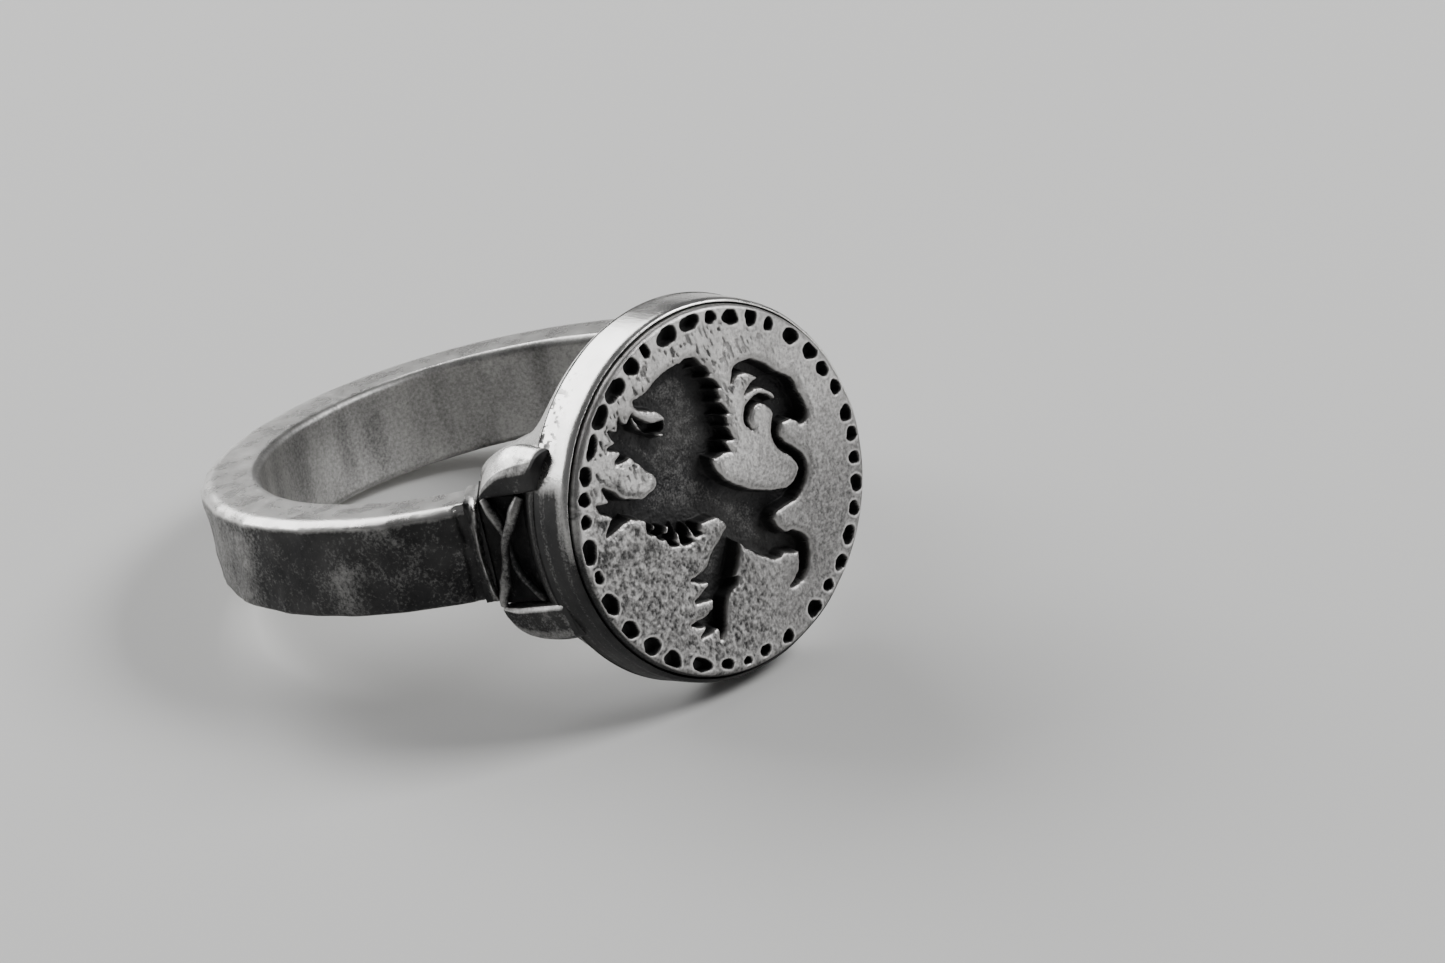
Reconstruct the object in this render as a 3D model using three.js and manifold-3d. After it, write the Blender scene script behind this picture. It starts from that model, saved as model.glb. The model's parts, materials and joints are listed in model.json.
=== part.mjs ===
// Silver signet ring with a round seal face.
//
// Every piece is drawn in the ring's own frame: the finger hole runs along Z through the origin,
// and the seal face looks along +X. The whole ring is then tipped back by TILT, because it lies
// on the lower edge of its round head and on the back of its band. In the finished part +Z is up,
// the floor is at Z = 0, the seal looks along +X and the ring is symmetric about the plane Y = 0.
// Units are millimetres.

import * as THREE from "three";
import { ConvexGeometry } from "three/addons/geometries/ConvexGeometry.js";
import { mergeVertices } from "three/addons/utils/BufferGeometryUtils.js";
import Module from "manifold-3d";

const wasm = await Module();
wasm.setup();

// ---------------------------------------------------------------- driving dimensions

const BORE_R = 9.9; // finger hole, US size 10
const BAND_R = 12.5; // outside of the band
const BAND_HALF = 2.12; // half the band's width
const BAND_EDGE = 0.35; // softened corner of the band's section
const BAND_END = 43.9; // angle from the seal axis where the band begins, degrees
const COLLAR = [41.35, 43.65]; // angles between which the collar rib lies, degrees
const COLLAR_PROUD = 0.16; // how far the collar rib stands above the band
const PANEL_ANGLE = 41.1; // angle where the sunk shoulder panel begins, degrees
const PANEL_SINK = 0.22; // how far the panel lies below the band's outside

const FACE_X = 14.78; // seal face, measured from the centre of the finger hole
const SEAL_R = 7.62; // radius of the seal plate
const SEAL_BASE_X = 12.52; // back of the seal plate
const SEAL_EDGE = 0.26; // rounding of the seal plate's border
const HOOP_IN = 7.68; // inside of the bezel hoop around the plate
const HOOP_OUT = 7.96; // outside of the bezel hoop at its foot
const HOOP_TOP_X = 14.44; // top of the bezel hoop
const DRUM_R = 7.98; // head at its widest, under the hoop
const DRUM_X = 12.46; // top of the head body
const FLARE_X = 11.4; // fullest part of the head's flare
const FLARE_R = 7.36; // its radius there
const SHOULDER = [10.4, 6.9, 4.3]; // corner of the head body at each shoulder
const GAP = 0.05; // clearance between neighbouring pieces

const CUT_DEPTH = 0.9; // depth of the sunk lion
const PIT_DEPTH = 0.5; // depth of the pits around the border
const PIT_RING = 0.92; // radius of the ring of pits, as a part of SEAL_SCALE
const SEAL_SCALE = 7.757; // size of the emblem's unit
const STRAND_R = 0.24; // radius of a crossed strand
const ROUND_STEPS = 60; // facets around the head
const BAND_STEPS = 90; // facets around the band

// ---------------------------------------------------------------- materials

function silver(name, color, roughness) {
  const material = new THREE.MeshStandardMaterial({ color, roughness, metalness: 1.0 });
  material.name = name;
  return material;
}

const polishedSilver = silver("polished_silver", 0xd2d0cb, 0.22);
const wornSilver = silver("worn_silver", 0xb7b4ae, 0.36);
const frostedSilver = silver("frosted_silver", 0xc4c2bd, 0.45);
const oxidisedSilver = silver("oxidised_silver", 0x4b4a48, 0.5);

// ---------------------------------------------------------------- solids and meshes

const radians = (degrees) => (degrees * Math.PI) / 180;

// Turns a closed three.js geometry into a solid that can be joined and cut.
function solid(geometry, matrix) {
  const bare = geometry.clone();
  bare.deleteAttribute("normal");
  bare.deleteAttribute("uv");
  if (matrix) {
    bare.applyMatrix4(matrix);
  }
  const welded = mergeVertices(bare, 1e-5);
  const positions = Float32Array.from(welded.attributes.position.array);
  const index = welded.index.array;
  const triangles = [];
  for (let i = 0; i < index.length; i += 3) {
    const [a, b, c] = [index[i], index[i + 1], index[i + 2]];
    if (a !== b && b !== c && c !== a) {
      triangles.push(a, b, c);
    }
  }
  if (signedVolume(positions, triangles) < 0) {
    triangles.reverse();
  }
  const triVerts = Uint32Array.from(triangles);
  return new wasm.Manifold(new wasm.Mesh({ numProp: 3, vertProperties: positions, triVerts }));
}

function signedVolume(p, triangles) {
  let sum = 0;
  for (let i = 0; i < triangles.length; i += 3) {
    const [a, b, c] = [3 * triangles[i], 3 * triangles[i + 1], 3 * triangles[i + 2]];
    sum += p[a] * (p[b + 1] * p[c + 2] - p[b + 2] * p[c + 1]);
    sum += p[a + 1] * (p[b + 2] * p[c] - p[b] * p[c + 2]);
    sum += p[a + 2] * (p[b] * p[c + 1] - p[b + 1] * p[c]);
  }
  return sum / 6;
}

function mesh(name, body, material) {
  const data = body.getMesh();
  const geometry = new THREE.BufferGeometry();
  geometry.setAttribute("position", new THREE.BufferAttribute(data.vertProperties, 3));
  geometry.setIndex(new THREE.BufferAttribute(data.triVerts, 1));
  geometry.computeVertexNormals();
  const result = new THREE.Mesh(geometry, material);
  result.name = name;
  return result;
}

const hull = (points) => solid(new ConvexGeometry(points.map((p) => new THREE.Vector3(...p))));

// Mirrors points to the other shoulder (side = -1) and to the lower edge (level = -1).
const place = (points, side, level) => points.map(([x, y, z]) => [x, y * side, z * level]);

// The axis of a lathe or cylinder turned from Y to Z.
const yToZ = new THREE.Matrix4().makeRotationX(Math.PI / 2);

// The axis of a lathe or cylinder turned from Y to X, with a facet lying level at the bottom.
const yToX = new THREE.Matrix4()
  .makeRotationX(Math.PI / ROUND_STEPS)
  .multiply(new THREE.Matrix4().makeRotationZ(-Math.PI / 2));

// The emblem's plane (u, v, outward) stood up as the seal face (Y, Z, X).
const faceUp = new THREE.Matrix4().makeBasis(
  new THREE.Vector3(0, 1, 0),
  new THREE.Vector3(0, 0, 1),
  new THREE.Vector3(1, 0, 0),
);

const at = (x, y, z) => new THREE.Matrix4().makeTranslation(x, y, z);

// A ring or disc about Z from a closed or axis-to-axis profile of [radius, height] points.
function turned(profile, steps, matrix) {
  const points = profile.map(([r, y]) => new THREE.Vector2(r, y));
  return solid(new THREE.LatheGeometry(points, steps), matrix);
}

// A flat shape in the emblem's plane, from `back` to `front` along the seal axis.
function slab(outline, back, front) {
  const shape = new THREE.Shape(outline.map(([u, v]) => new THREE.Vector2(u, v)));
  const geometry = new THREE.ExtrudeGeometry(shape, { depth: front - back, bevelEnabled: false });
  return solid(geometry, faceUp.clone().multiply(at(0, 0, back)));
}

// A flat shape in the plane of the band, from `low` to `high` along the finger hole.
function block(outline, low, high) {
  const shape = new THREE.Shape(outline.map(([x, y]) => new THREE.Vector2(x, y)));
  const geometry = new THREE.ExtrudeGeometry(shape, { depth: high - low, bevelEnabled: false });
  return solid(geometry, at(0, 0, low));
}

const joined = (parts) => parts.reduce((sum, part) => sum.add(part));

// ---------------------------------------------------------------- the band

// A rounded rectangle from radius a to b and height -h to h, closed on itself.
function roundedSection(a, b, h, edge) {
  const k = edge * 0.3;
  const points = [
    [a + edge, -h],
    [b - edge, -h],
    [b - k, -h + k],
    [b, -h + edge],
    [b, h - edge],
    [b - k, h - k],
    [b - edge, h],
    [a + edge, h],
    [a + k, h - k],
    [a, h - edge],
    [a, -h + edge],
    [a + k, -h + k],
  ];
  return [...points, points[0]];
}

// A sector of the band's plane between two angles, reaching past the band on both sides.
function sector(from, to) {
  const far = 30;
  const steps = 8;
  const outline = [[0, 0]];
  for (let i = 0; i <= steps; i += 1) {
    const angle = radians(from + ((to - from) * i) / steps);
    outline.push([far * Math.cos(angle), far * Math.sin(angle)]);
  }
  return block(outline, -9, 9);
}

const bandRing = turned(roundedSection(BORE_R, BAND_R, BAND_HALF, BAND_EDGE), BAND_STEPS, yToZ);
const band = bandRing.subtract(sector(-BAND_END, BAND_END));

const collarSection = roundedSection(BORE_R, BAND_R + COLLAR_PROUD, BAND_HALF + 0.03, 0.3);
const collarRing = turned(collarSection, 180, yToZ);
const collar = (side) => {
  const [from, to] = side > 0 ? COLLAR : [-COLLAR[1], -COLLAR[0]];
  return collarRing.intersect(sector(from, to));
};

// ---------------------------------------------------------------- the head body

// The finger hole through the head, wider by `grow`.
const bore = (grow) => {
  const cylinder = new THREE.CylinderGeometry(BORE_R + grow, BORE_R + grow, 30, BAND_STEPS);
  return solid(cylinder, yToZ);
};

// The round head drawn down to four shoulder corners, then on down to the finger hole.
function headBlank(grow) {
  const [sx, sy, sz] = SHOULDER;
  const rim = [];
  const offset = Math.PI / ROUND_STEPS;
  for (let i = 0; i < ROUND_STEPS; i += 1) {
    const angle = (2 * Math.PI * i) / ROUND_STEPS + offset;
    const r = DRUM_R + grow;
    rim.push([DRUM_X + grow, r * Math.cos(angle), r * Math.sin(angle)]);
    rim.push([DRUM_X - 0.55, (r - 0.06) * Math.cos(angle), (r - 0.06) * Math.sin(angle)]);
    rim.push([FLARE_X, (FLARE_R + grow) * Math.cos(angle), (FLARE_R + grow) * Math.sin(angle)]);
  }
  const corners = [];
  const foot = [];
  for (const side of [-1, 1]) {
    for (const level of [-1, 1]) {
      corners.push([sx - grow, side * (sy + grow), level * (sz + grow)]);
      corners.push([sx - grow, side * (sy - 0.5 + grow), level * (sz + 0.35 + grow)]);
      foot.push([sx + 0.1, side * (sy + grow), level * (sz + grow)]);
      foot.push([7.62, side * (6.45 + grow), level * (3.3 + grow)]);
    }
  }
  return hull([...rim, ...corners]).add(hull(foot));
}

const headBody = headBlank(0).subtract(bore(0));

// ---------------------------------------------------------------- the bezel hoop and seal plate

const hoop = turned(
  [
    [HOOP_IN, DRUM_X + 0.03],
    [HOOP_OUT, DRUM_X + 0.03],
    [HOOP_OUT - 0.05, HOOP_TOP_X - 0.3],
    [HOOP_OUT - 0.1, HOOP_TOP_X - 0.06],
    [HOOP_OUT - 0.17, HOOP_TOP_X],
    [HOOP_IN + 0.03, HOOP_TOP_X],
    [HOOP_IN, HOOP_TOP_X - 0.04],
    [HOOP_IN, DRUM_X + 0.03],
  ],
  ROUND_STEPS,
  yToX,
);

const plateBlank = turned(
  [
    [0, SEAL_BASE_X],
    [SEAL_R, SEAL_BASE_X],
    [SEAL_R, FACE_X - SEAL_EDGE],
    [SEAL_R - SEAL_EDGE * 0.3, FACE_X - SEAL_EDGE * 0.3],
    [SEAL_R - SEAL_EDGE, FACE_X],
    [0, FACE_X],
  ],
  ROUND_STEPS,
  yToX,
);

// Pits around the border: angle in degrees, length along the border and across it in millimetres.
const PITS = [
  [6, 0.7, 0.62],
  [16, 0.62, 0.58],
  [24.5, 0.66, 0.6],
  [32.5, 0.78, 0.7],
  [42.5, 0.86, 0.66],
  [53, 0.5, 0.56],
  [61, 0.62, 0.74],
  [69.6, 0.82, 0.66],
  [78, 0.55, 0.6],
  [87, 1.0, 0.66],
  [97, 1.12, 0.76],
  [107, 0.46, 0.66],
  [114.5, 0.8, 0.74],
  [124.5, 1.16, 0.78],
  [135, 1.02, 0.7],
  [145, 1.04, 0.46],
  [154.5, 0.82, 0.6],
  [162.2, 0.64, 0.56],
  [169.5, 0.6, 0.5],
  [179.4, 1.04, 0.78],
  [188.8, 0.54, 0.44],
  [199, 0.98, 0.72],
  [211, 0.86, 0.76],
  [222, 0.9, 0.74],
  [232, 0.98, 0.68],
  [244.5, 1.06, 0.58],
  [255.5, 0.6, 0.46],
  [264, 0.4, 0.36],
  [272, 0.56, 0.46],
  [282.5, 0.62, 0.52],
  [296.5, 0.86, 0.66],
  [306, 0.56, 0.5],
  [315, 0.7, 0.6],
  [324.5, 0.78, 0.6],
  [333.5, 0.6, 0.58],
  [342, 0.74, 0.62],
  [350.5, 0.58, 0.52],
  [358.5, 0.64, 0.58],
];

function pit([angle, along, across]) {
  const cylinder = new THREE.CylinderGeometry(0.5, 0.42, 2 * PIT_DEPTH, 9);
  const r = PIT_RING * SEAL_SCALE;
  const a = radians(angle);
  const place3 = new THREE.Matrix4()
    .multiply(at(FACE_X, r * Math.cos(a), r * Math.sin(a)))
    .multiply(new THREE.Matrix4().makeRotationX(a))
    .multiply(new THREE.Matrix4().makeScale(1, across, along))
    .multiply(new THREE.Matrix4().makeRotationZ(-Math.PI / 2));
  return solid(cylinder, place3);
}

// A heraldic lion rampant, sunk into the plate: the outline of its body, then tapering strokes.
const BODY = [
  [-0.415, 0.655],
  [-0.33, 0.665],
  [-0.24, 0.705],
  [-0.13, 0.735],
  [-0.03, 0.73],
  [0.045, 0.655],
  [0.085, 0.55],
  [0.1, 0.4],
  [0.085, 0.27],
  [0, 0.175],
  [0.035, 0.07],
  [0.12, -0.015],
  [0.23, -0.085],
  [0.35, -0.13],
  [0.45, -0.165],
  [0.42, -0.225],
  [0.31, -0.25],
  [0.32, -0.33],
  [0.4, -0.41],
  [0.41, -0.46],
  [0.33, -0.47],
  [0.24, -0.475],
  [0.13, -0.4],
  [0.055, -0.325],
  [0.01, -0.235],
  [-0.05, -0.135],
  [-0.17, -0.115],
  [-0.29, -0.08],
  [-0.4, -0.02],
  [-0.5, 0.035],
  [-0.5, 0.135],
  [-0.415, 0.165],
  [-0.395, 0.225],
  [-0.45, 0.31],
  [-0.45, 0.385],
  [-0.36, 0.375],
  [-0.28, 0.41],
  [-0.235, 0.475],
  [-0.27, 0.535],
  [-0.335, 0.575],
  [-0.4, 0.605],
];

// Locks of the mane: root and tip.
const LOCKS = [
  [0, 0.69, 0.08, 0.665],
  [0.05, 0.625, 0.11, 0.62],
  [0.07, 0.555, 0.155, 0.525],
  [0.085, 0.485, 0.135, 0.475],
  [0.085, 0.415, 0.17, 0.375],
  [0.09, 0.34, 0.145, 0.325],
  [0.085, 0.28, 0.16, 0.235],
  [0.05, 0.215, 0.12, 0.18],
];

// Strokes: points are [u, v, half width].
const STROKES = [
  // lower jaw
  [[-0.27, 0.46, 0.035], [-0.34, 0.475, 0.03], [-0.395, 0.52, 0.022], [-0.43, 0.575, 0.006]],
  // raised foreleg, its paw and claws
  [[-0.34, 0.33, 0.1], [-0.42, 0.4, 0.085], [-0.49, 0.465, 0.07]],
  [[-0.47, 0.49, 0.045], [-0.465, 0.545, 0.022], [-0.44, 0.59, 0.005]],
  [[-0.5, 0.5, 0.045], [-0.53, 0.55, 0.024], [-0.53, 0.605, 0.005]],
  [[-0.51, 0.48, 0.045], [-0.58, 0.52, 0.024], [-0.615, 0.56, 0.005]],
  [[-0.51, 0.46, 0.045], [-0.59, 0.465, 0.024], [-0.645, 0.475, 0.005]],
  [[-0.5, 0.43, 0.04], [-0.57, 0.4, 0.022], [-0.615, 0.39, 0.005]],
  // forward foreleg, its paw and claws
  [[-0.36, 0.06, 0.12], [-0.5, 0.085, 0.06], [-0.62, 0.135, 0.05], [-0.7, 0.165, 0.045]],
  [[-0.66, 0.165, 0.04], [-0.695, 0.225, 0.03], [-0.735, 0.285, 0.006]],
  [[-0.7, 0.17, 0.04], [-0.76, 0.185, 0.028], [-0.8, 0.215, 0.006]],
  [[-0.64, 0.11, 0.04], [-0.72, 0.085, 0.03], [-0.78, 0.045, 0.008]],
  // tufts under the belly
  [[-0.47, 0.03, 0.035], [-0.505, -0.025, 0.026], [-0.47, -0.065, 0.006]],
  [[-0.41, 0, 0.035], [-0.445, -0.07, 0.03], [-0.405, -0.105, 0.006]],
  [[-0.33, -0.04, 0.04], [-0.385, -0.125, 0.028], [-0.35, -0.17, 0.006]],
  [[-0.27, -0.07, 0.04], [-0.3, -0.155, 0.034], [-0.25, -0.185, 0.006]],
  [[-0.21, -0.09, 0.035], [-0.215, -0.15, 0.022], [-0.185, -0.17, 0.005]],
  // near hind leg, its foot and claws
  [
    [0.02, -0.235, 0.05],
    [-0.04, -0.31, 0.08],
    [-0.105, -0.39, 0.1],
    [-0.15, -0.47, 0.075],
    [-0.165, -0.53, 0.052],
    [-0.19, -0.6, 0.045],
    [-0.22, -0.645, 0.045],
  ],
  [[-0.15, -0.385, 0.05], [-0.24, -0.395, 0.032], [-0.32, -0.38, 0.006]],
  [[-0.15, -0.47, 0.05], [-0.24, -0.49, 0.035], [-0.325, -0.5, 0.006]],
  [[-0.21, -0.615, 0.04], [-0.3, -0.625, 0.026], [-0.39, -0.61, 0.006]],
  [[-0.22, -0.63, 0.04], [-0.29, -0.675, 0.024], [-0.345, -0.69, 0.006]],
  [[-0.2, -0.63, 0.04], [-0.2, -0.69, 0.026], [-0.225, -0.745, 0.006]],
  [[-0.12, -0.5, 0.04], [-0.06, -0.495, 0.024], [-0.02, -0.475, 0.005]],
  // far hind leg
  [
    [0.38, -0.43, 0.06],
    [0.44, -0.47, 0.045],
    [0.43, -0.55, 0.036],
    [0.395, -0.61, 0.03],
    [0.34, -0.645, 0.018],
    [0.3, -0.655, 0.005],
  ],
  // tail with its tuft and inward curls
  [
    [0.36, -0.18, 0.04],
    [0.45, -0.185, 0.04],
    [0.535, -0.13, 0.036],
    [0.565, -0.055, 0.03],
    [0.525, 0.02, 0.028],
    [0.465, 0.08, 0.026],
    [0.44, 0.155, 0.028],
    [0.475, 0.225, 0.035],
    [0.545, 0.275, 0.07],
    [0.565, 0.35, 0.075],
    [0.51, 0.43, 0.05],
    [0.44, 0.51, 0.042],
    [0.36, 0.565, 0.036],
    [0.285, 0.57, 0.026],
    [0.235, 0.52, 0.006],
  ],
  [[0.57, 0.29, 0.08], [0.625, 0.22, 0.055], [0.62, 0.17, 0.02]],
  [[0.54, 0.36, 0.04], [0.465, 0.43, 0.03], [0.38, 0.455, 0.024], [0.3, 0.43, 0.006]],
  [
    [0.5, 0.25, 0.03],
    [0.455, 0.33, 0.026],
    [0.38, 0.375, 0.024],
    [0.305, 0.35, 0.022],
    [0.275, 0.29, 0.016],
    [0.295, 0.235, 0.005],
  ],
];

const spline = (points, closed) => {
  const vectors = points.map(([u, v, w = 0]) => new THREE.Vector3(u, v, w));
  return new THREE.CatmullRomCurve3(vectors, closed, "catmullrom", 0.5);
};

// A flat shape in emblem units, sunk into the seal face.
function sunk(outline) {
  const scaled = outline.map(([u, v]) => [u * SEAL_SCALE, v * SEAL_SCALE]);
  return slab(scaled, FACE_X - CUT_DEPTH, FACE_X + 1);
}

// A tapering stroke of the emblem.
function stroke(points) {
  const path = spline(points, false);
  const steps = 2 * (points.length - 1);
  const left = [];
  const right = [];
  for (let i = 0; i <= steps; i += 1) {
    const p = path.getPoint(i / steps);
    const t = path.getTangent(i / steps);
    const length = Math.hypot(t.x, t.y);
    const [nx, ny] = [-t.y / length, t.x / length];
    left.push([p.x + nx * p.z, p.y + ny * p.z]);
    right.push([p.x - nx * p.z, p.y - ny * p.z]);
  }
  return sunk([...left, ...right.reverse()]);
}

function lock([u, v, tipU, tipV]) {
  const [du, dv] = [tipU - u, tipV - v];
  return stroke([
    [u - 0.35 * du, v - 0.35 * dv, 0.04],
    [u + 0.35 * du, v + 0.35 * dv + 0.01, 0.03],
    [tipU, tipV, 0.004],
  ]);
}

const bodyOutline = spline(BODY, true)
  .getPoints(2 * BODY.length)
  .slice(0, -1)
  .map((p) => [p.x, p.y]);
const lion = [sunk(bodyOutline), ...LOCKS.map(lock), ...STROKES.map(stroke)];

const sealPlate = plateBlank.subtract(joined(PITS.map(pit))).subtract(joined(lion));

// ---------------------------------------------------------------- the shoulders

// Everything the shoulder pieces keep clear of.
const headClear = headBlank(GAP).add(
  solid(
    new THREE.CylinderGeometry(HOOP_OUT + GAP, HOOP_OUT + GAP + 0.02, 4, ROUND_STEPS),
    at(DRUM_X + 2, 0, 0).multiply(yToX),
  ),
);

// Points of the shoulder caps: beak-shaped blocks with a bowed ridge, pointed towards the band.
// The one below the panel is flatter; its heights are counted downwards.
const UPPER_CAP = [
  [9.5, 8.14, 2.2],
  [11.4, 7.9, 2.5],
  [12.95, 7.58, 2.7],
  [9.85, 8.14, 2.55],
  [10.8, 8.05, 3.24],
  [12.2, 7.86, 3.5],
  [12.95, 7.7, 3.66],
  [10.12, 8.03, 3],
  [10.6, 7.95, 3.4],
  [11.3, 7.85, 3.72],
  [12.4, 7.64, 4.0],
  [13.0, 7.45, 4.16],
  [9.05, 7.7, 2.2],
  [9.4, 7.7, 2.95],
  [9.8, 7.6, 3.55],
  [10.3, 7.5, 4],
  [10.9, 7.4, 4.28],
  [8.75, 7.4, 2.2],
  [9.3, 7.1, 3.4],
  [10, 6.9, 4],
  [11, 6.9, 4.42],
  [12.4, 6.85, 4.4],
  [13.05, 6.85, 4.3],
  [9.6, 6.6, 2.2],
  [12.95, 6.4, 2.5],
];
const LOWER_CAP = [
  [9.34, 8.1, 2.38],
  [10.1, 8, 2.4],
  [11.2, 7.86, 2.3],
  [12.2, 7.68, 2.22],
  [12.9, 7.52, 2.2],
  [9.34, 8.18, 2.6],
  [10.4, 8.12, 2.62],
  [11.7, 7.92, 2.5],
  [12.9, 7.64, 2.38],
  [9.45, 8.1, 2.95],
  [9.75, 8.02, 3.38],
  [10.23, 7.95, 3.62],
  [10.8, 7.86, 3.72],
  [12, 7.7, 3.72],
  [12.95, 7.4, 3.55],
  [9.05, 7.7, 3.1],
  [9.3, 7.5, 3.6],
  [9.9, 7.3, 3.98],
  [11.2, 7.1, 4.02],
  [12.95, 6.95, 3.8],
  [8.85, 7.45, 2.3],
  [9.2, 7, 3.4],
  [9.6, 6.6, 2.2],
  [12.9, 6.4, 2.2],
];

const cap = (points, side, level) => {
  return hull(place(points, side, level)).subtract(headClear).subtract(bore(0));
};

// The sunk panel between the caps, running from the collar up under the head.
const panelOuterR = BAND_R - PANEL_SINK;
const panelFoot = [
  panelOuterR * Math.cos(radians(PANEL_ANGLE)),
  panelOuterR * Math.sin(radians(PANEL_ANGLE)),
];
const panelHead = [11.5, 7.26];
const panelOutline = [
  panelFoot,
  panelHead,
  [11.0, 6.0],
  [7.0, 5.8],
  [6.9, 6.9 * Math.tan(radians(PANEL_ANGLE))],
];

const panel = (side) => {
  const outline = panelOutline.map(([x, y]) => [x, y * side]);
  return block(outline, -BAND_HALF, BAND_HALF).subtract(headClear).subtract(bore(0));
};

// A point on the panel's outside: `along` runs from the collar (0) to the head (1), `lift` off it.
function onPanel(along, z, lift) {
  const dx = panelHead[0] - panelFoot[0];
  const dy = panelHead[1] - panelFoot[1];
  const length = Math.hypot(dx, dy);
  return new THREE.Vector3(
    panelFoot[0] + dx * along - (dy / length) * lift,
    panelFoot[1] + dy * along + (dx / length) * lift,
    z,
  );
}

// Two strands cross on the panel; the second one arches over the first.
const LOW_STRAND = [
  [0.24, 1.85, 0.33],
  [0.4, 1.15, 0.33],
  [0.48, 0.4, 0.33],
  [0.6, -0.7, 0.33],
  [0.82, -1.8, 0.33],
];
const HIGH_STRAND = [
  [0.8, 1.85, 0.33],
  [0.66, 1.1, 0.52],
  [0.48, 0.4, 0.94],
  [0.32, -0.8, 0.5],
  [0.17, -1.85, 0.33],
];

function strand(points, side) {
  const curve = new THREE.CatmullRomCurve3(
    points.map(([along, z, lift]) => {
      const p = onPanel(along, z, lift);
      p.y *= side;
      return p;
    }),
  );
  const section = new THREE.Shape();
  const sides = 8;
  for (let i = 0; i < sides; i += 1) {
    const a = (2 * Math.PI * i) / sides;
    const x = STRAND_R * Math.cos(a);
    const y = STRAND_R * Math.sin(a);
    if (i === 0) {
      section.moveTo(x, y);
    } else {
      section.lineTo(x, y);
    }
  }
  section.closePath();
  const geometry = new THREE.ExtrudeGeometry(section, { steps: 12, extrudePath: curve });
  return solid(geometry).subtract(headClear);
}

// ---------------------------------------------------------------- assembly

const ring = new THREE.Group();

ring.add(mesh("shank_band", band, wornSilver));
ring.add(mesh("head_body", headBody, polishedSilver));
ring.add(mesh("bezel_hoop", hoop, polishedSilver));
ring.add(mesh("seal_plate", sealPlate, frostedSilver));

for (const [label, side] of [["right", -1], ["left", 1]]) {
  ring.add(mesh(`collar_rib_${label}`, collar(side), wornSilver));
  ring.add(mesh(`shoulder_panel_${label}`, panel(side), oxidisedSilver));
  ring.add(mesh(`shoulder_cap_upper_${label}`, cap(UPPER_CAP, side, 1), polishedSilver));
  ring.add(mesh(`shoulder_cap_lower_${label}`, cap(LOWER_CAP, side, -1), polishedSilver));
  ring.add(mesh(`cross_strand_under_${label}`, strand(LOW_STRAND, side), wornSilver));
  ring.add(mesh(`cross_strand_over_${label}`, strand(HIGH_STRAND, side), wornSilver));
}

// The ring lies on the head's lower edge and on the outer lower edge of the band's back.
const headLow = [DRUM_X - 0.02, -DRUM_R * Math.cos(Math.PI / ROUND_STEPS)];
const bandLow = [-BAND_R + 0.3 * BAND_EDGE, -BAND_HALF + 0.3 * BAND_EDGE];
const TILT = Math.atan2(bandLow[1] - headLow[1], headLow[0] - bandLow[0]);
ring.rotation.y = -TILT;

// The floor is at Z = 0, and the origin is under the middle of the ring's box.
const part = new THREE.Group();
part.add(ring);
part.updateMatrixWorld(true);
const box = new THREE.Box3().setFromObject(part, true);
ring.position.set(-(box.min.x + box.max.x) / 2, 0, -box.min.z);

export default part;
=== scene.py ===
import json
import math

import bmesh
import bpy
import numpy as np
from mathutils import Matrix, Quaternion, Vector


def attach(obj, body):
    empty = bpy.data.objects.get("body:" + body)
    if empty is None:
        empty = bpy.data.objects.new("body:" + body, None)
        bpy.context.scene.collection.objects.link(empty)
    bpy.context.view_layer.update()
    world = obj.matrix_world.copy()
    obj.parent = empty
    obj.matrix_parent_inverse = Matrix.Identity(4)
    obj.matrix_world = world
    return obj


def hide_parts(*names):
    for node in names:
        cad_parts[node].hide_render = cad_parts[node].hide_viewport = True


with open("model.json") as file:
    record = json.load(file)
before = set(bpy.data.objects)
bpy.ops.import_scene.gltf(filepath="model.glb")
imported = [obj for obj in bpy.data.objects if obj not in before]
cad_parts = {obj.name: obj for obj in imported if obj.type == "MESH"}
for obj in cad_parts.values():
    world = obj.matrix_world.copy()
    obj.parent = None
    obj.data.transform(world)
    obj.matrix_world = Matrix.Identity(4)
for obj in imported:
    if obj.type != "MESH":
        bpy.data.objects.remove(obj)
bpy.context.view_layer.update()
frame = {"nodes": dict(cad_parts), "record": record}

# ------------------------------------------------------------------ the frame

MM = 0.001

# Driving dimensions of the ring, in millimetres, in its own axes: x out through the seal, z along
# the finger hole, the origin at the middle of the hole.
BORE_R, BAND_R, BAND_HALF = 9.9, 12.5, 2.12
BAND_END = 43.9
FACE_X, SEAL_R, SEAL_BASE_X = 14.78, 7.62, 12.52
HOOP_IN, HOOP_OUT, HOOP_TOP_X = 7.68, 7.96, 14.44
DRUM_R, DRUM_X = 7.98, 12.46
SHOULDER = (10.4, 6.9, 4.3)
# Depth of the lion and of the pits, and how far the ground between the limbs is domed.
CUT_DEPTH, PIT_DEPTH, PILLOW = 0.9, 0.5, 0.1
# The emblem is drawn in units of SEAL_SCALE; the pits' middles lie at PIT_RING of it, and FILLET
# rounds the corners where the lion's strokes meet.
SEAL_SCALE, PIT_RING, FILLET = 7.757, 0.92, 0.012
# The rounded border of the plate, and the ground inside it that the graver worked.
BORDER, GROUND_R = 0.26, 7.1
# The border's outer turn starts here; no pit reaches over it.
TURN_R = SEAL_R - 0.17


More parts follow.
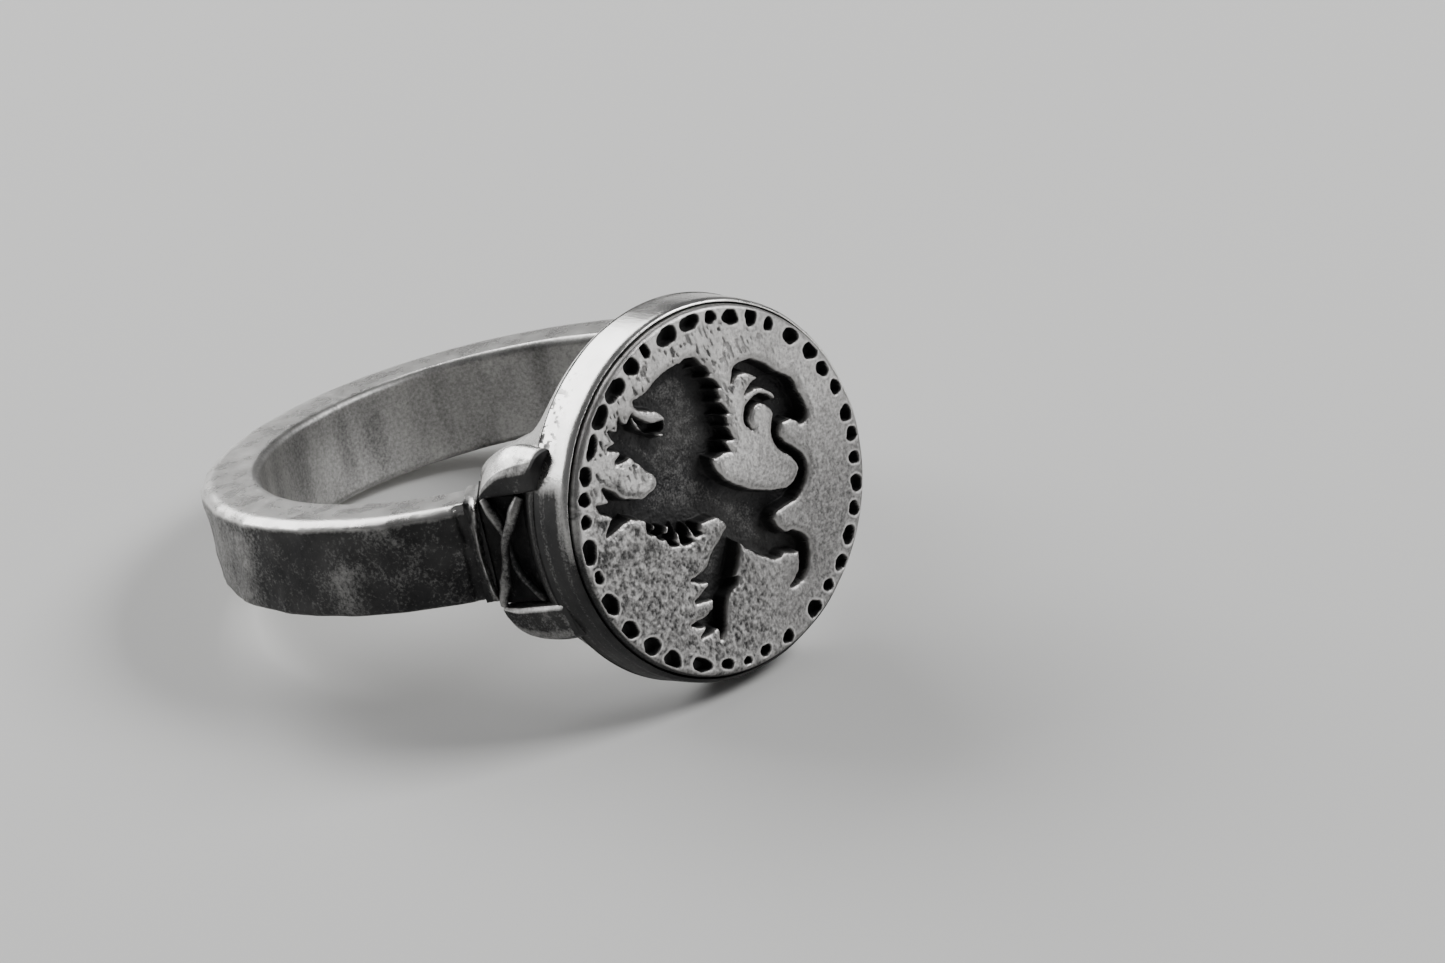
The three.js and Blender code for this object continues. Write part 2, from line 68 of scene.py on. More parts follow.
def ring_axes():
    """The ring's own axes and the middle of its finger hole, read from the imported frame."""
    mount = frame["record"]["mounts"][0]
    out = Vector(mount["axis"]).normalized()
    side = Vector((0.0, 1.0, 0.0))
    finger = out.cross(side)
    plate = frame["nodes"]["seal_plate"].data.vertices
    band = frame["nodes"]["shank_band"].data.vertices
    along_out = max(v.co.dot(out) for v in plate) - FACE_X * MM
    heights = [v.co.dot(finger) for v in band]
    along_finger = (min(heights) + max(heights)) / 2
    return out, side, finger, out * along_out + finger * along_finger


OUT, SIDE, FINGER, CENTRE = ring_axes()
AXES = np.array([OUT, SIDE, FINGER], float)


def to_row(points):
    """Ring millimetres to row metres."""
    return np.asarray(points, float) @ AXES * MM + np.array(CENTRE)


# ------------------------------------------------------------------ noise

def lattice(x, y, seed):
    """A fixed random number from -1 to 1 at each whole-number point."""
    n = (x.astype(np.int64) * 374761393 + y.astype(np.int64) * 668265263 + seed * 974634777)
    n = (n ^ (n >> 13)) * 1274126177
    n = n ^ (n >> 16)
    return (n & 0xFFFF) / 32767.5 - 1.0


def noise(x, y, seed=0):
    """Smooth noise from -1 to 1, features about one unit across."""
    xi, yi = np.floor(x), np.floor(y)
    fx, fy = x - xi, y - yi
    sx, sy = fx * fx * (3 - 2 * fx), fy * fy * (3 - 2 * fy)
    a = lattice(xi, yi, seed) * (1 - sx) + lattice(xi + 1, yi, seed) * sx
    b = lattice(xi, yi + 1, seed) * (1 - sx) + lattice(xi + 1, yi + 1, seed) * sx
    return a * (1 - sy) + b * sy


def fbm(x, y, seed=0, octaves=3):
    """Noise of several sizes added together, from -1 to 1."""
    total, size = 0.0, 1.0
    for k in range(octaves):
        total = total + noise(x * 2 ** k, y * 2 ** k, seed + 17 * k) * size
        size *= 0.5
    return total / (2 - 2 ** (1 - octaves))


def step(t):
    """Soft step from 0 to 1 as t goes from 0 to 1."""
    t = np.clip(t, 0, 1)
    return t * t * (3 - 2 * t)


def dimples(s, z, length, spacing, radius, seed):
    """Height of a hammered surface: shallow bowls that meet in soft ridges, s wraps at length."""
    rng = np.random.default_rng(seed)
    count = int(length * 6 / spacing ** 2)
    cs = rng.random(count) * length
    cz = rng.random(count) * 6 - 3
    lift = rng.random(count) * 0.25 * spacing ** 2
    best = np.full(s.shape, 1e9)
    second = np.full(s.shape, 1e9)
    for a, b, extra in zip(cs, cz, lift):
        ds = np.abs(s - a)
        ds = np.minimum(ds, length - ds)
        d = ds * ds + (z - b) ** 2 + extra
        second = np.minimum(second, np.maximum(best, d))
        best = np.minimum(best, d)
    blend = np.clip(1 - (second - best) / (0.5 * spacing ** 2), 0, 1)
    soft = best - blend * blend * 0.12 * spacing ** 2
    return (soft - 0.35 * spacing ** 2) / (2 * radius)


# ------------------------------------------------------------------ meshes

def outward(obj):
    """Turns every face of a closed mesh to look outwards."""
    work = bmesh.new()
    work.from_mesh(obj.data)
    bmesh.ops.recalc_face_normals(work, faces=work.faces)
    work.to_mesh(obj.data)
    work.free()
    return obj


def make_mesh(name, points, faces, patina_and_shade):
    """A smooth mesh from ring millimetres, with the oxide and painted shade of each point as its
    patina_and_shade.
    """
    data = bpy.data.meshes.new(name)
    data.from_pydata(to_row(points).tolist(), [], faces)
    data.update()
    layer = data.attributes.new("patina_and_shade", "FLOAT", "POINT")
    layer.data.foreach_set("value", np.asarray(patina_and_shade, np.float32))
    data.polygons.foreach_set("use_smooth", [True] * len(data.polygons))
    obj = bpy.data.objects.new(name, data)
    bpy.context.scene.collection.objects.link(obj)
    return outward(obj)


def grid_faces(rows, cols, wrap_rows=False, wrap_cols=False, offset=0):
    """Quads of a grid of rows x cols points numbered row by row."""
    i = np.arange(rows if wrap_rows else rows - 1)
    j = np.arange(cols if wrap_cols else cols - 1)
    i, j = np.meshgrid(i, j, indexing="ij")
    i2, j2 = (i + 1) % rows, (j + 1) % cols
    quads = np.stack([i * cols + j, i * cols + j2, i2 * cols + j2, i2 * cols + j], -1)
    return (quads.reshape(-1, 4) + offset).tolist()


def tube_faces(rows, cols):
    """A tube of rings of points, closed by a flat face at each end."""
    ends = [list(range(cols)), list(range((rows - 1) * cols, rows * cols))]
    return grid_faces(rows, cols, wrap_cols=True) + ends


def settle(obj, nodes):
    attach(obj, "root")
    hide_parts(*nodes)
    return obj


# ------------------------------------------------------------------ the emblem

# A heraldic lion rampant. Outline and strokes are in units of SEAL_SCALE, u to the right and v up
# as the seal is looked at; a stroke's third number is its half width.
BODY = [
    (-0.415, 0.655), (-0.33, 0.665), (-0.24, 0.705), (-0.13, 0.735), (-0.03, 0.73),
    (0.045, 0.655), (0.085, 0.55), (0.1, 0.4), (0.085, 0.27), (0, 0.175), (0.035, 0.07),
    (0.12, -0.015), (0.23, -0.085), (0.35, -0.13), (0.45, -0.165), (0.42, -0.225), (0.31, -0.25),
    (0.32, -0.33), (0.4, -0.41), (0.41, -0.46), (0.33, -0.47), (0.24, -0.475), (0.13, -0.4),
    (0.055, -0.325), (0.01, -0.235), (-0.05, -0.135), (-0.17, -0.115), (-0.29, -0.08),
    (-0.4, -0.02), (-0.5, 0.035), (-0.5, 0.135), (-0.415, 0.165), (-0.395, 0.225), (-0.45, 0.31),
    (-0.45, 0.385), (-0.36, 0.375), (-0.28, 0.41), (-0.235, 0.475), (-0.27, 0.535),
    (-0.335, 0.575), (-0.4, 0.605),
]
LOCKS = [
    (0, 0.69, 0.08, 0.665), (0.05, 0.625, 0.11, 0.62), (0.07, 0.555, 0.155, 0.525),
    (0.085, 0.485, 0.135, 0.475), (0.085, 0.415, 0.17, 0.375), (0.09, 0.34, 0.145, 0.325),
    (0.085, 0.28, 0.16, 0.235), (0.05, 0.215, 0.12, 0.18),
]
STROKES = [
    # lower jaw
    [(-0.27, 0.46, 0.035), (-0.34, 0.475, 0.03), (-0.395, 0.52, 0.022), (-0.43, 0.575, 0.006)],
    # raised foreleg, its paw and claws
    [(-0.34, 0.33, 0.1), (-0.42, 0.4, 0.085), (-0.49, 0.465, 0.07)],
    [(-0.47, 0.49, 0.045), (-0.465, 0.545, 0.022), (-0.44, 0.59, 0.005)],
    [(-0.5, 0.5, 0.045), (-0.53, 0.55, 0.024), (-0.53, 0.605, 0.005)],
    [(-0.51, 0.48, 0.045), (-0.58, 0.52, 0.024), (-0.615, 0.56, 0.005)],
    [(-0.51, 0.46, 0.045), (-0.59, 0.465, 0.024), (-0.645, 0.475, 0.005)],
    [(-0.5, 0.43, 0.04), (-0.57, 0.4, 0.022), (-0.615, 0.39, 0.005)],
    # forward foreleg, its paw and claws
    [(-0.36, 0.06, 0.12), (-0.5, 0.085, 0.06), (-0.62, 0.135, 0.05), (-0.7, 0.165, 0.045)],
    [(-0.66, 0.165, 0.04), (-0.695, 0.225, 0.03), (-0.735, 0.285, 0.006)],
    [(-0.7, 0.17, 0.04), (-0.76, 0.185, 0.028), (-0.8, 0.215, 0.006)],
    [(-0.64, 0.11, 0.04), (-0.72, 0.085, 0.03), (-0.78, 0.045, 0.008)],
    # tufts under the belly
    [(-0.47, 0.03, 0.035), (-0.505, -0.025, 0.026), (-0.47, -0.065, 0.006)],
    [(-0.41, 0, 0.035), (-0.445, -0.07, 0.03), (-0.405, -0.105, 0.006)],
    [(-0.33, -0.04, 0.04), (-0.385, -0.125, 0.028), (-0.35, -0.17, 0.006)],
    [(-0.27, -0.07, 0.04), (-0.3, -0.155, 0.034), (-0.25, -0.185, 0.006)],
    [(-0.21, -0.09, 0.035), (-0.215, -0.15, 0.022), (-0.185, -0.17, 0.005)],
    # near hind leg, its foot and claws
    [
        (0.02, -0.235, 0.05), (-0.04, -0.31, 0.08), (-0.105, -0.39, 0.1), (-0.15, -0.47, 0.075),
        (-0.165, -0.53, 0.052), (-0.19, -0.6, 0.045), (-0.22, -0.645, 0.045),
    ],
    [(-0.15, -0.385, 0.05), (-0.24, -0.395, 0.032), (-0.32, -0.38, 0.006)],
    [(-0.15, -0.47, 0.05), (-0.24, -0.49, 0.035), (-0.325, -0.5, 0.006)],
    [(-0.21, -0.615, 0.04), (-0.3, -0.625, 0.026), (-0.39, -0.61, 0.006)],
    [(-0.22, -0.63, 0.04), (-0.29, -0.675, 0.024), (-0.345, -0.69, 0.006)],
    [(-0.2, -0.63, 0.04), (-0.2, -0.69, 0.026), (-0.225, -0.745, 0.006)],
    [(-0.12, -0.5, 0.04), (-0.06, -0.495, 0.024), (-0.02, -0.475, 0.005)],
    # far hind leg
    [
        (0.38, -0.43, 0.06), (0.44, -0.47, 0.045), (0.43, -0.55, 0.036), (0.395, -0.61, 0.03),
        (0.34, -0.645, 0.018), (0.3, -0.655, 0.005),
    ],
    # tail with its tuft and inward curls
    [
        (0.36, -0.18, 0.04), (0.45, -0.185, 0.04), (0.535, -0.13, 0.036), (0.565, -0.055, 0.03),
        (0.525, 0.02, 0.028), (0.465, 0.08, 0.026), (0.44, 0.155, 0.028), (0.475, 0.225, 0.035),
        (0.545, 0.275, 0.07), (0.565, 0.35, 0.075), (0.51, 0.43, 0.05), (0.44, 0.51, 0.042),
        (0.36, 0.565, 0.036), (0.285, 0.57, 0.026), (0.235, 0.52, 0.006),
    ],
    [(0.57, 0.29, 0.08), (0.625, 0.22, 0.055), (0.62, 0.17, 0.02)],
    [(0.54, 0.36, 0.04), (0.465, 0.43, 0.03), (0.38, 0.455, 0.024), (0.3, 0.43, 0.006)],
    [
        (0.5, 0.25, 0.03), (0.455, 0.33, 0.026), (0.38, 0.375, 0.024), (0.305, 0.35, 0.022),
        (0.275, 0.29, 0.016), (0.295, 0.235, 0.005),
    ],
]
# Pits round the border: angle in degrees, length along the border and across it in millimetres.
PITS = [
    (6, 0.7, 0.62), (16, 0.62, 0.58), (24.5, 0.66, 0.6), (32.5, 0.78, 0.7), (42.5, 0.86, 0.66),
    (53, 0.5, 0.56), (61, 0.62, 0.74), (69.6, 0.82, 0.66), (78, 0.55, 0.6), (87, 1, 0.66),
    (97, 1.12, 0.76), (107, 0.46, 0.66), (114.5, 0.8, 0.74), (124.5, 1.16, 0.78),
    (135, 1.02, 0.7), (145, 1.04, 0.46), (154.5, 0.82, 0.6), (162.2, 0.64, 0.56),
    (169.5, 0.6, 0.5), (179.4, 1.04, 0.78), (188.8, 0.54, 0.44), (199, 0.98, 0.72),
    (211, 0.86, 0.76), (222, 0.9, 0.74), (232, 0.98, 0.68), (244.5, 1.06, 0.58),
    (255.5, 0.6, 0.46), (264, 0.4, 0.36), (272, 0.56, 0.46), (282.5, 0.62, 0.52),
    (296.5, 0.86, 0.66), (306, 0.56, 0.5), (315, 0.7, 0.6), (324.5, 0.78, 0.6),
    (333.5, 0.6, 0.58), (342, 0.74, 0.62), (350.5, 0.58, 0.52), (358.5, 0.64, 0.58),
]


def spline(points, closed, steps):
    """A smooth curve through all points, with a number of steps between each two."""
    p = np.array(points, float)
    n = len(p)
    out = []
    for i in range(n if closed else n - 1):
        if closed:
            a, b, c, d = p[i - 1], p[i], p[(i + 1) % n], p[(i + 2) % n]
        else:
            a, b, c, d = p[max(i - 1, 0)], p[i], p[i + 1], p[min(i + 2, n - 1)]
        for k in range(steps):
            t = k / steps
            linear = (c - a) * t
            square = (2 * a - 5 * b + 4 * c - d) * t * t
            cube = (3 * b - a - 3 * c + d) * t ** 3
            out.append(b + 0.5 * (linear + square + cube))
    if not closed:
        out.append(p[-1])
    return np.array(out)


def outline_distance(x, y, outline):
    """Distance to a closed outline, negative inside."""
    best = np.full(x.shape, 1e9)
    inside = np.zeros(x.shape, bool)
    for a, b in zip(outline, np.roll(outline, -1, 0)):
        e = b - a
        t = np.clip(((x - a[0]) * e[0] + (y - a[1]) * e[1]) / (e @ e + 1e-12), 0, 1)
        best = np.minimum(best, np.hypot(x - a[0] - e[0] * t, y - a[1] - e[1] * t))
        if a[1] != b[1]:
            crosses = (a[1] > y) != (b[1] > y)
            inside ^= crosses & (x < e[0] * (y - a[1]) / e[1] + a[0])
    return np.where(inside, -best, best)


def stroke_distance(x, y, stroke):
    """Distance to a stroke of changing width, negative inside."""
    path = spline(stroke, False, 6)
    best = np.full(x.shape, 1e9)
    for a, b in zip(path[:-1], path[1:]):
        ex, ey = b[0] - a[0], b[1] - a[1]
        t = np.clip(((x - a[0]) * ex + (y - a[1]) * ey) / (ex * ex + ey * ey + 1e-12), 0, 1)
        d = np.hypot(x - a[0] - ex * t, y - a[1] - ey * t) - (a[2] + (b[2] - a[2]) * t)
        best = np.minimum(best, d)
    return best


def smooth_min(a, b, k):
    """The smaller of two distances, rounded over a width k where they meet."""
    h = np.clip(0.5 + 0.5 * (b - a) / k, 0, 1)
    return b + (a - b) * h - k * h * (1 - h)


def lion_distance(u, v):
    """Distance to the lion's contour in units of SEAL_SCALE, negative inside."""
    d = outline_distance(u, v, spline(BODY, True, 5))
    for x, y, tip_x, tip_y in LOCKS:
        dx, dy = (tip_x - x) * 0.35, (tip_y - y) * 0.35
        lock = [(x - dx, y - dy, 0.05), (x + dx, y + dy + 0.012, 0.036), (tip_x, tip_y, 0.004)]
        d = smooth_min(d, stroke_distance(u, v, lock), FILLET)
    for stroke in STROKES:
        d = smooth_min(d, stroke_distance(u, v, stroke), FILLET)
    return d


def pit_distance(y, z):
    """Distance in millimetres to the nearest pit's irregular mouth, negative inside."""
    best = np.full(y.shape, 1e9)
    ring = PIT_RING * SEAL_SCALE
    for k, (degrees, along, across) in enumerate(PITS):
        a = math.radians(degrees)
        shift = 0.05 * math.sin(k * 2.4)
        cy, cz = (ring + shift) * math.cos(a), (ring + shift) * math.sin(a)
        near = np.hypot(y - cy, z - cz) < 1.4
        ry, rz = y[near] - cy, z[near] - cz
        radial = ry * math.cos(a) + rz * math.sin(a)
        tangent = rz * math.cos(a) - ry * math.sin(a)
        turn = np.arctan2(radial, tangent)
        wobble = 1 + 0.07 * np.sin(turn * 2 + k) + 0.05 * np.sin(turn * 3 + 2.1 * k)
        wobble += 0.03 * np.sin(turn * 5 + 1.3 * k)
        q = np.hypot(tangent / (along / 2), radial / (across / 2)) / wobble
        d = (q - 1) * min(along, across) / 2
        best[near] = np.minimum(best[near], d)
    return best


# ------------------------------------------------------------------ the seal plate

def plate_surface(y, z):
    """Height of the seal face above FACE_X and its patina, at each y, z in millimetres."""
    r = np.hypot(y, z)
    lion = lion_distance(y / SEAL_SCALE, z / SEAL_SCALE) * SEAL_SCALE
    lion = lion + 0.03 * noise(y * 2.6, z * 2.6, 5) + 0.018 * noise(y * 7, z * 7, 6)
    pits = pit_distance(y, z) + 0.014 * noise(y * 7, z * 7, 7)
    pits = np.maximum(pits, r - TURN_R)
    worked = step((lion - 0.02) / 0.16) * step((pits - 0.02) / 0.12)
    ground = worked * step((GROUND_R - r) / 0.4)
    lower_left = step((0.9 - (0.5 * y + z)) / 4.2) * step((3.4 - y) / 4)
    near_head = step((-y - 1.6) / 2) * step((3.6 - z) / 2) * step((z + 1.8) / 1.6)
    lower_left = np.maximum(lower_left, 0.7 * near_head)

    # the sunk lion: rounded lip, steep wall, grained floor
    wall = step((0.03 - lion) / 0.15)
    height = (PILLOW - CUT_DEPTH) * wall
    floor = step((-lion - 0.1) / 0.1)
    height += floor * (0.03 * fbm(y * 5.2, z * 5.2, 21) + 0.022 * fbm(y * 12, z * 12, 22, 2))
    height += floor * 0.03 * noise(y * 1.3, z * 1.3, 24)
    # the ground between the limbs is domed, like small pillows
    height -= PILLOW * np.clip(1 - lion / 0.38, 0, 1) ** 2

    # pits, each with a slight burr on the worked side
    height -= PIT_DEPTH * step((0.02 - pits) / 0.12)
    burr = np.exp(-(((pits - 0.08) / 0.06) ** 2)) * step((7.25 - r) / 0.3)
    height += 0.022 * burr * (0.3 + 0.7 * lower_left)

    # worked ground, coarse at the lower left and fine elsewhere
    coarse = fbm(y * 6.6, z * 5.6, 31, 3)
    fine = fbm(y * 10.5, z * 9.5, 33, 2)
    height += ground * (coarse * 0.036 * lower_left + fine * (0.01 + 0.014 * lower_left))
    scuff = fbm(y * 2.6 + 3, z * 2.6, 36, 3)
    height += ground * 0.05 * near_head * scuff
    height += 0.02 * noise(y * 0.55, z * 0.55, 41) * step((GROUND_R - r) / 1.5)

    # small sharp nicks over the upper left and between the forelegs
    slant = y + 0.18 * z
    nicks = noise(slant * 9.5, z * 3.9, 51) * 0.62 + noise(slant * 5.2, z * 2.7, 52) * 0.42
    upper_left = step((z * 0.9 - y * 0.5 + 0.6) / 3) * step((5.2 - y) / 3)
    nick = step((nicks - 0.24) / 0.16) * upper_left * ground * (1 - 0.8 * lower_left)
    nick = nick * (0.6 + 0.4 * noise(y * 1.1, z * 1.1, 53) + 0.3 * step((-y - 0.5) / 3))
    nick = np.clip(nick, 0, 0.9)
    height -= 0.06 * nick

    # rounded border
    edge = np.clip((r - (SEAL_R - BORDER)) / BORDER, 0, 1)
    height -= BORDER * (1 - np.sqrt(np.clip(1 - edge * edge, 0, 1)))

    # the oxide: black walls and pits, a dark floor rubbed lighter in the middle
    inside = step((0.02 - lion) / 0.05)
    middle = step((-lion - 0.2) / 0.7)
    rubbed = np.clip(0.5 + 0.8 * fbm(y * 4.2, z * 4.2, 23, 3), 0, 1)
    patina_and_shade = inside * (1 - middle * (0.08 + 0.14 * rubbed))
    patina_and_shade = np.maximum(patina_and_shade, step((0.03 - pits) / 0.05))
    patina_and_shade = np.maximum(patina_and_shade, nick)
    # painted shade: the worked ground is painted darker towards the bottom and the right, and
    # varied by the coarse grain at the lower left and the scuffs near the head
    tone = 0.1 + 0.32 * step((3.6 - z) / 6) + 0.14 * step((y - 1) / 4)
    tone = tone + (0.12 - 0.45 * coarse) * lower_left - 0.26 * fine
    tone = tone + near_head * (0.06 - 0.8 * scuff)
    patina_and_shade = np.maximum(patina_and_shade, np.clip(worked * tone, 0, 0.85))
    # the border's outer turn is painted black below as a painted dark reflection, and left bright
    # at the top
    turn = step((r - TURN_R) / 0.12) * step((2.4 - z) / 3)
    patina_and_shade = np.maximum(patina_and_shade, 0.9 * turn)
    return height, np.clip(patina_and_shade, 0, 1)


def disc_grid(n):
    """Points of a square grid pressed into the unit disc, row by row."""
    g = np.linspace(-1, 1, n)
    a, b = np.meshgrid(g, g, indexing="ij")
    big = np.abs(a) > np.abs(b)
    safe_a, safe_b = np.where(a == 0, 1e-9, a), np.where(b == 0, 1e-9, b)
    angle = np.where(big, math.pi / 4 * b / safe_a, math.pi / 2 - math.pi / 4 * a / safe_b)
    r = np.where(big, a, b)
    return r * np.cos(angle), r * np.sin(angle)


def make_plate():
    """The seal plate: a fine grid for its face, and a plain side and back."""
    n = 420
    cy, cz = disc_grid(n)
    y, z = cy * SEAL_R, cz * SEAL_R
    height, patina_and_shade = plate_surface(y, z)
    # nothing stands proud of the CAD plate
    height = np.minimum(height - 0.012, -0.002)
    top = np.stack([FACE_X + height, y, z], -1).reshape(-1, 3)
    faces = grid_faces(n, n)
    # the plate's side and back, hung from the border of the grid
    ij = np.arange(n * n).reshape(n, n)
    border = np.concatenate([ij[:-1, 0], ij[-1, :-1], ij[:0:-1, -1], ij[0, :0:-1]])
    points, dark = [top], [patina_and_shade.reshape(-1)]
    above, count = border, len(border)
    start = n * n
    for x in (FACE_X - 0.7, SEAL_BASE_X + 0.05, SEAL_BASE_X):
        ring = top[border].copy()
        ring[:, 0] = x
        points.append(ring)
        dark.append(np.full(count, 0.9))
        below = np.arange(start, start + count)
        for k in range(count):
            faces.append([above[k], above[(k + 1) % count], below[(k + 1) % count], below[k]])
        above, start = below, start + count
    faces.append(list(above))
    obj = make_mesh("seal_face", np.concatenate(points), faces, np.concatenate(dark))
    return settle(obj, ["seal_plate"])


# ------------------------------------------------------------------ the bezel hoop

HOOP_STEP = 0.08  # longest edge along the hoop's section


def make_hoop():
    """The hoop round the plate, its section turned about the seal's normal."""
    # the section: radius, place along the normal
    corners = [
        (HOOP_IN, DRUM_X - 0.1), (HOOP_OUT - 0.005, DRUM_X - 0.1), (HOOP_OUT, DRUM_X + 0.1),
        (HOOP_OUT - 0.01, 12.95), (HOOP_OUT - 0.02, 13.35), (HOOP_OUT - 0.035, 13.7),
        (HOOP_OUT - 0.05, 14.0), (HOOP_OUT - 0.065, 14.2), (HOOP_OUT - 0.1, 14.32),
        (HOOP_OUT - 0.15, 14.4), (HOOP_OUT - 0.2, HOOP_TOP_X), (HOOP_IN + 0.05, HOOP_TOP_X),
        (HOOP_IN + 0.015, 14.41), (HOOP_IN, 14.36), (HOOP_IN, 13.6),
    ]
    profile = []
    for (r0, x0), (r1, x1) in zip(corners, corners[1:] + corners[:1]):
        count = max(1, round(math.hypot(r1 - r0, x1 - x0) / HOOP_STEP))
        profile += [(r0 + (r1 - r0) * k / count, x0 + (x1 - x0) * k / count) for k in range(count)]
    turns = 960
    a, k = np.meshgrid(np.linspace(0, 2 * math.pi, turns, endpoint=False), np.arange(len(profile)))
    r, x = np.array(profile)[k, 0], np.array(profile)[k, 1]
    wave = 0.012 * np.sin(3 * a + 0.5) + 0.012 * np.sin(7 * a + 2) + 0.01 * np.sin(17 * a)
    high = step((x - 14.02) / 0.16)
    radius = r + (wave * 0.5 - 0.012) * np.where(r > HOOP_IN + 0.02, 1.0, 0.0)
    along = x + high * (wave - 0.02) + high * 0.006 * noise(a * 40, x * 8, 61)
    points = np.stack([along, radius * np.cos(a), radius * np.sin(a)], -1).reshape(-1, 3)
    # painted dark reflection: the wall is painted black below, broken by streaks; the front part
    # of the wall and the lip are painted lighter where the light reaches them, as a painted
    # highlight
    z = HOOP_OUT * np.sin(a)
    below = step((3.4 - z) / 1.1)
    streak = noise(a * 1.6, x * 9, 62)
    lit = step((z + 1.2) / 3.8)
    front = 0.36 * step((x - 13.75) / 0.35) * lit
    lip = 1 - lit * (1 - step((14.36 - x) / 0.2))
    dark = below * np.clip(0.96 + 0.18 * streak - front, 0, 1) * lip
    # short dark ticks of the file beside the shoulders
    ticks = 0.7 * noise(a * 44, x * 4.2, 63) + 0.45 * noise(a * 100, x * 9, 64)
    ticks = step((ticks - 0.15) / 0.18) * step((7.4 - np.abs(z)) / 2.6) * step((14.0 - x) / 1.5)
    dark = np.maximum(dark, 0.95 * ticks)
    dark = np.maximum(dark, step((HOOP_IN + 0.04 - r) / 0.03))
    faces = grid_faces(len(profile), turns, wrap_rows=True, wrap_cols=True)
    obj = make_mesh("bezel_rim", points, faces, np.clip(dark, 0, 1).reshape(-1))
    return settle(obj, ["bezel_hoop"])


# ------------------------------------------------------------------ the head

SHOULDER_POWER = 9.0  # how square the head's root is: 2 is an ellipse
KNEE_X, KNEE_SCALE = 11.6, 0.975  # where the flare bends, and its size against the drum


def shoulder_outline(angle, half_y, half_z):
    """Point of a rounded rectangle in each direction."""
    p = SHOULDER_POWER
    t = np.linspace(0, 2 * math.pi, 1441)
    radius = 1 / ((np.abs(np.cos(t)) / half_y) ** p + (np.abs(np.sin(t)) / half_z) ** p) ** (1 / p)
    r = np.interp(np.mod(angle, 2 * math.pi), t, radius)
    return r * np.cos(angle), r * np.sin(angle)


def bend(a, b, c, t):
    """Point at t of the curve from a to c that is drawn towards b."""
    return (1 - t) ** 2 * a + 2 * t * (1 - t) * b + t * t * c


def make_head():
    """The head, from its round top down the flare to the four corners and the finger hole."""
    turns = 480
    a = np.linspace(0, 2 * math.pi, turns, endpoint=False)
    sx, sy, sz = SHOULDER
    rim = np.stack([np.full(turns, DRUM_X), DRUM_R * np.cos(a), DRUM_R * np.sin(a)], -1)
    cy, cz = shoulder_outline(a, sy, sz)
    corner = np.stack([np.full(turns, sx), cy, cz], -1)
    knee_r = KNEE_SCALE * DRUM_R
    knee = np.stack([np.full(turns, KNEE_X), knee_r * np.cos(a), knee_r * np.sin(a)], -1)
    fy = cy * 0.935
    fx = np.sqrt(BORE_R ** 2 - fy ** 2)
    fz = cz / sz * (3.3 + (fx - 7.62) / 2.88)
    foot = np.stack([fx, fy, fz], -1)
    rows = [bend(rim, knee, corner, k / 18) for k in range(19)]
    # a rounded corner where the flare meets the part that runs down to the finger
    before, after = rows[-2], corner + (foot - corner) * 0.25
    rows = rows[:-1] + [bend(before, corner, after, k / 6) for k in range(1, 7)]
    rows += [after + (foot - after) * k / 5 for k in range(1, 6)]
    # the finger hole's wall
    for k in range(1, 9):
        s = 1 - k / 8.001
        py, pz = foot[:, 1] * s, foot[:, 2] * s
        rows.append(np.stack([np.sqrt(BORE_R ** 2 - py ** 2), py, pz], -1))
    top = [rim * np.array([1.0, s, s]) for s in (0.02, 0.5, 0.93)]
    points = np.stack(top + rows)
    n = len(points)
    # gentle unevenness of hand finishing, none inside the finger hole
    for k in range(4, 24):
        direction = points[k] - points[k].mean(0)
        direction /= np.linalg.norm(direction, axis=1)[:, None]
        swell = 0.02 * noise(a * 3.0, np.full(turns, k * 0.2), 71)
        points[k] += direction * (swell[:, None] - 0.02)
    # painted dark reflection: the flare is painted dark below, fully so at its root, and broken
    # elsewhere by streaks that run along it
    x, y, z = points[..., 0], points[..., 1], points[..., 2]
    around = np.broadcast_to(a, x.shape)
    flank = step((3.4 - z) / 1.2)
    streak = noise(around * 1.6, x * 9, 73) * 0.6 + noise(around * 3.1, x * 21, 74) * 0.5
    root = step((12.15 - x) / 0.6)
    dark = flank * np.clip(0.9 + 0.1 * root + 0.22 * streak * (1 - root), 0, 1)
    flecks = step((noise(around * 46, x * 8, 75) - 0.25) / 0.4) * step((12.2 - x) / 1.2)
    dark = np.maximum(dark, 0.5 * flecks * step((z - 1.5) / 2) * step((11.9 - x) / 0.9))
    dark = np.where(np.hypot(x, y) < BORE_R + 0.05, 0.1, dark)
    dark = np.clip(dark, 0, 1).reshape(-1)
    obj = make_mesh("head", points.reshape(-1, 3), tube_faces(n, turns), dark)
    return settle(obj, ["head_body"])


# ------------------------------------------------------------------ the band

EDGE, WIDE_EDGE = 0.34, 0.66  # rounding of the band's edges; the outer ones are worn wider
COLLAR_SIDE = 46.1  # degrees from the seal where the hollow beside the collar ends


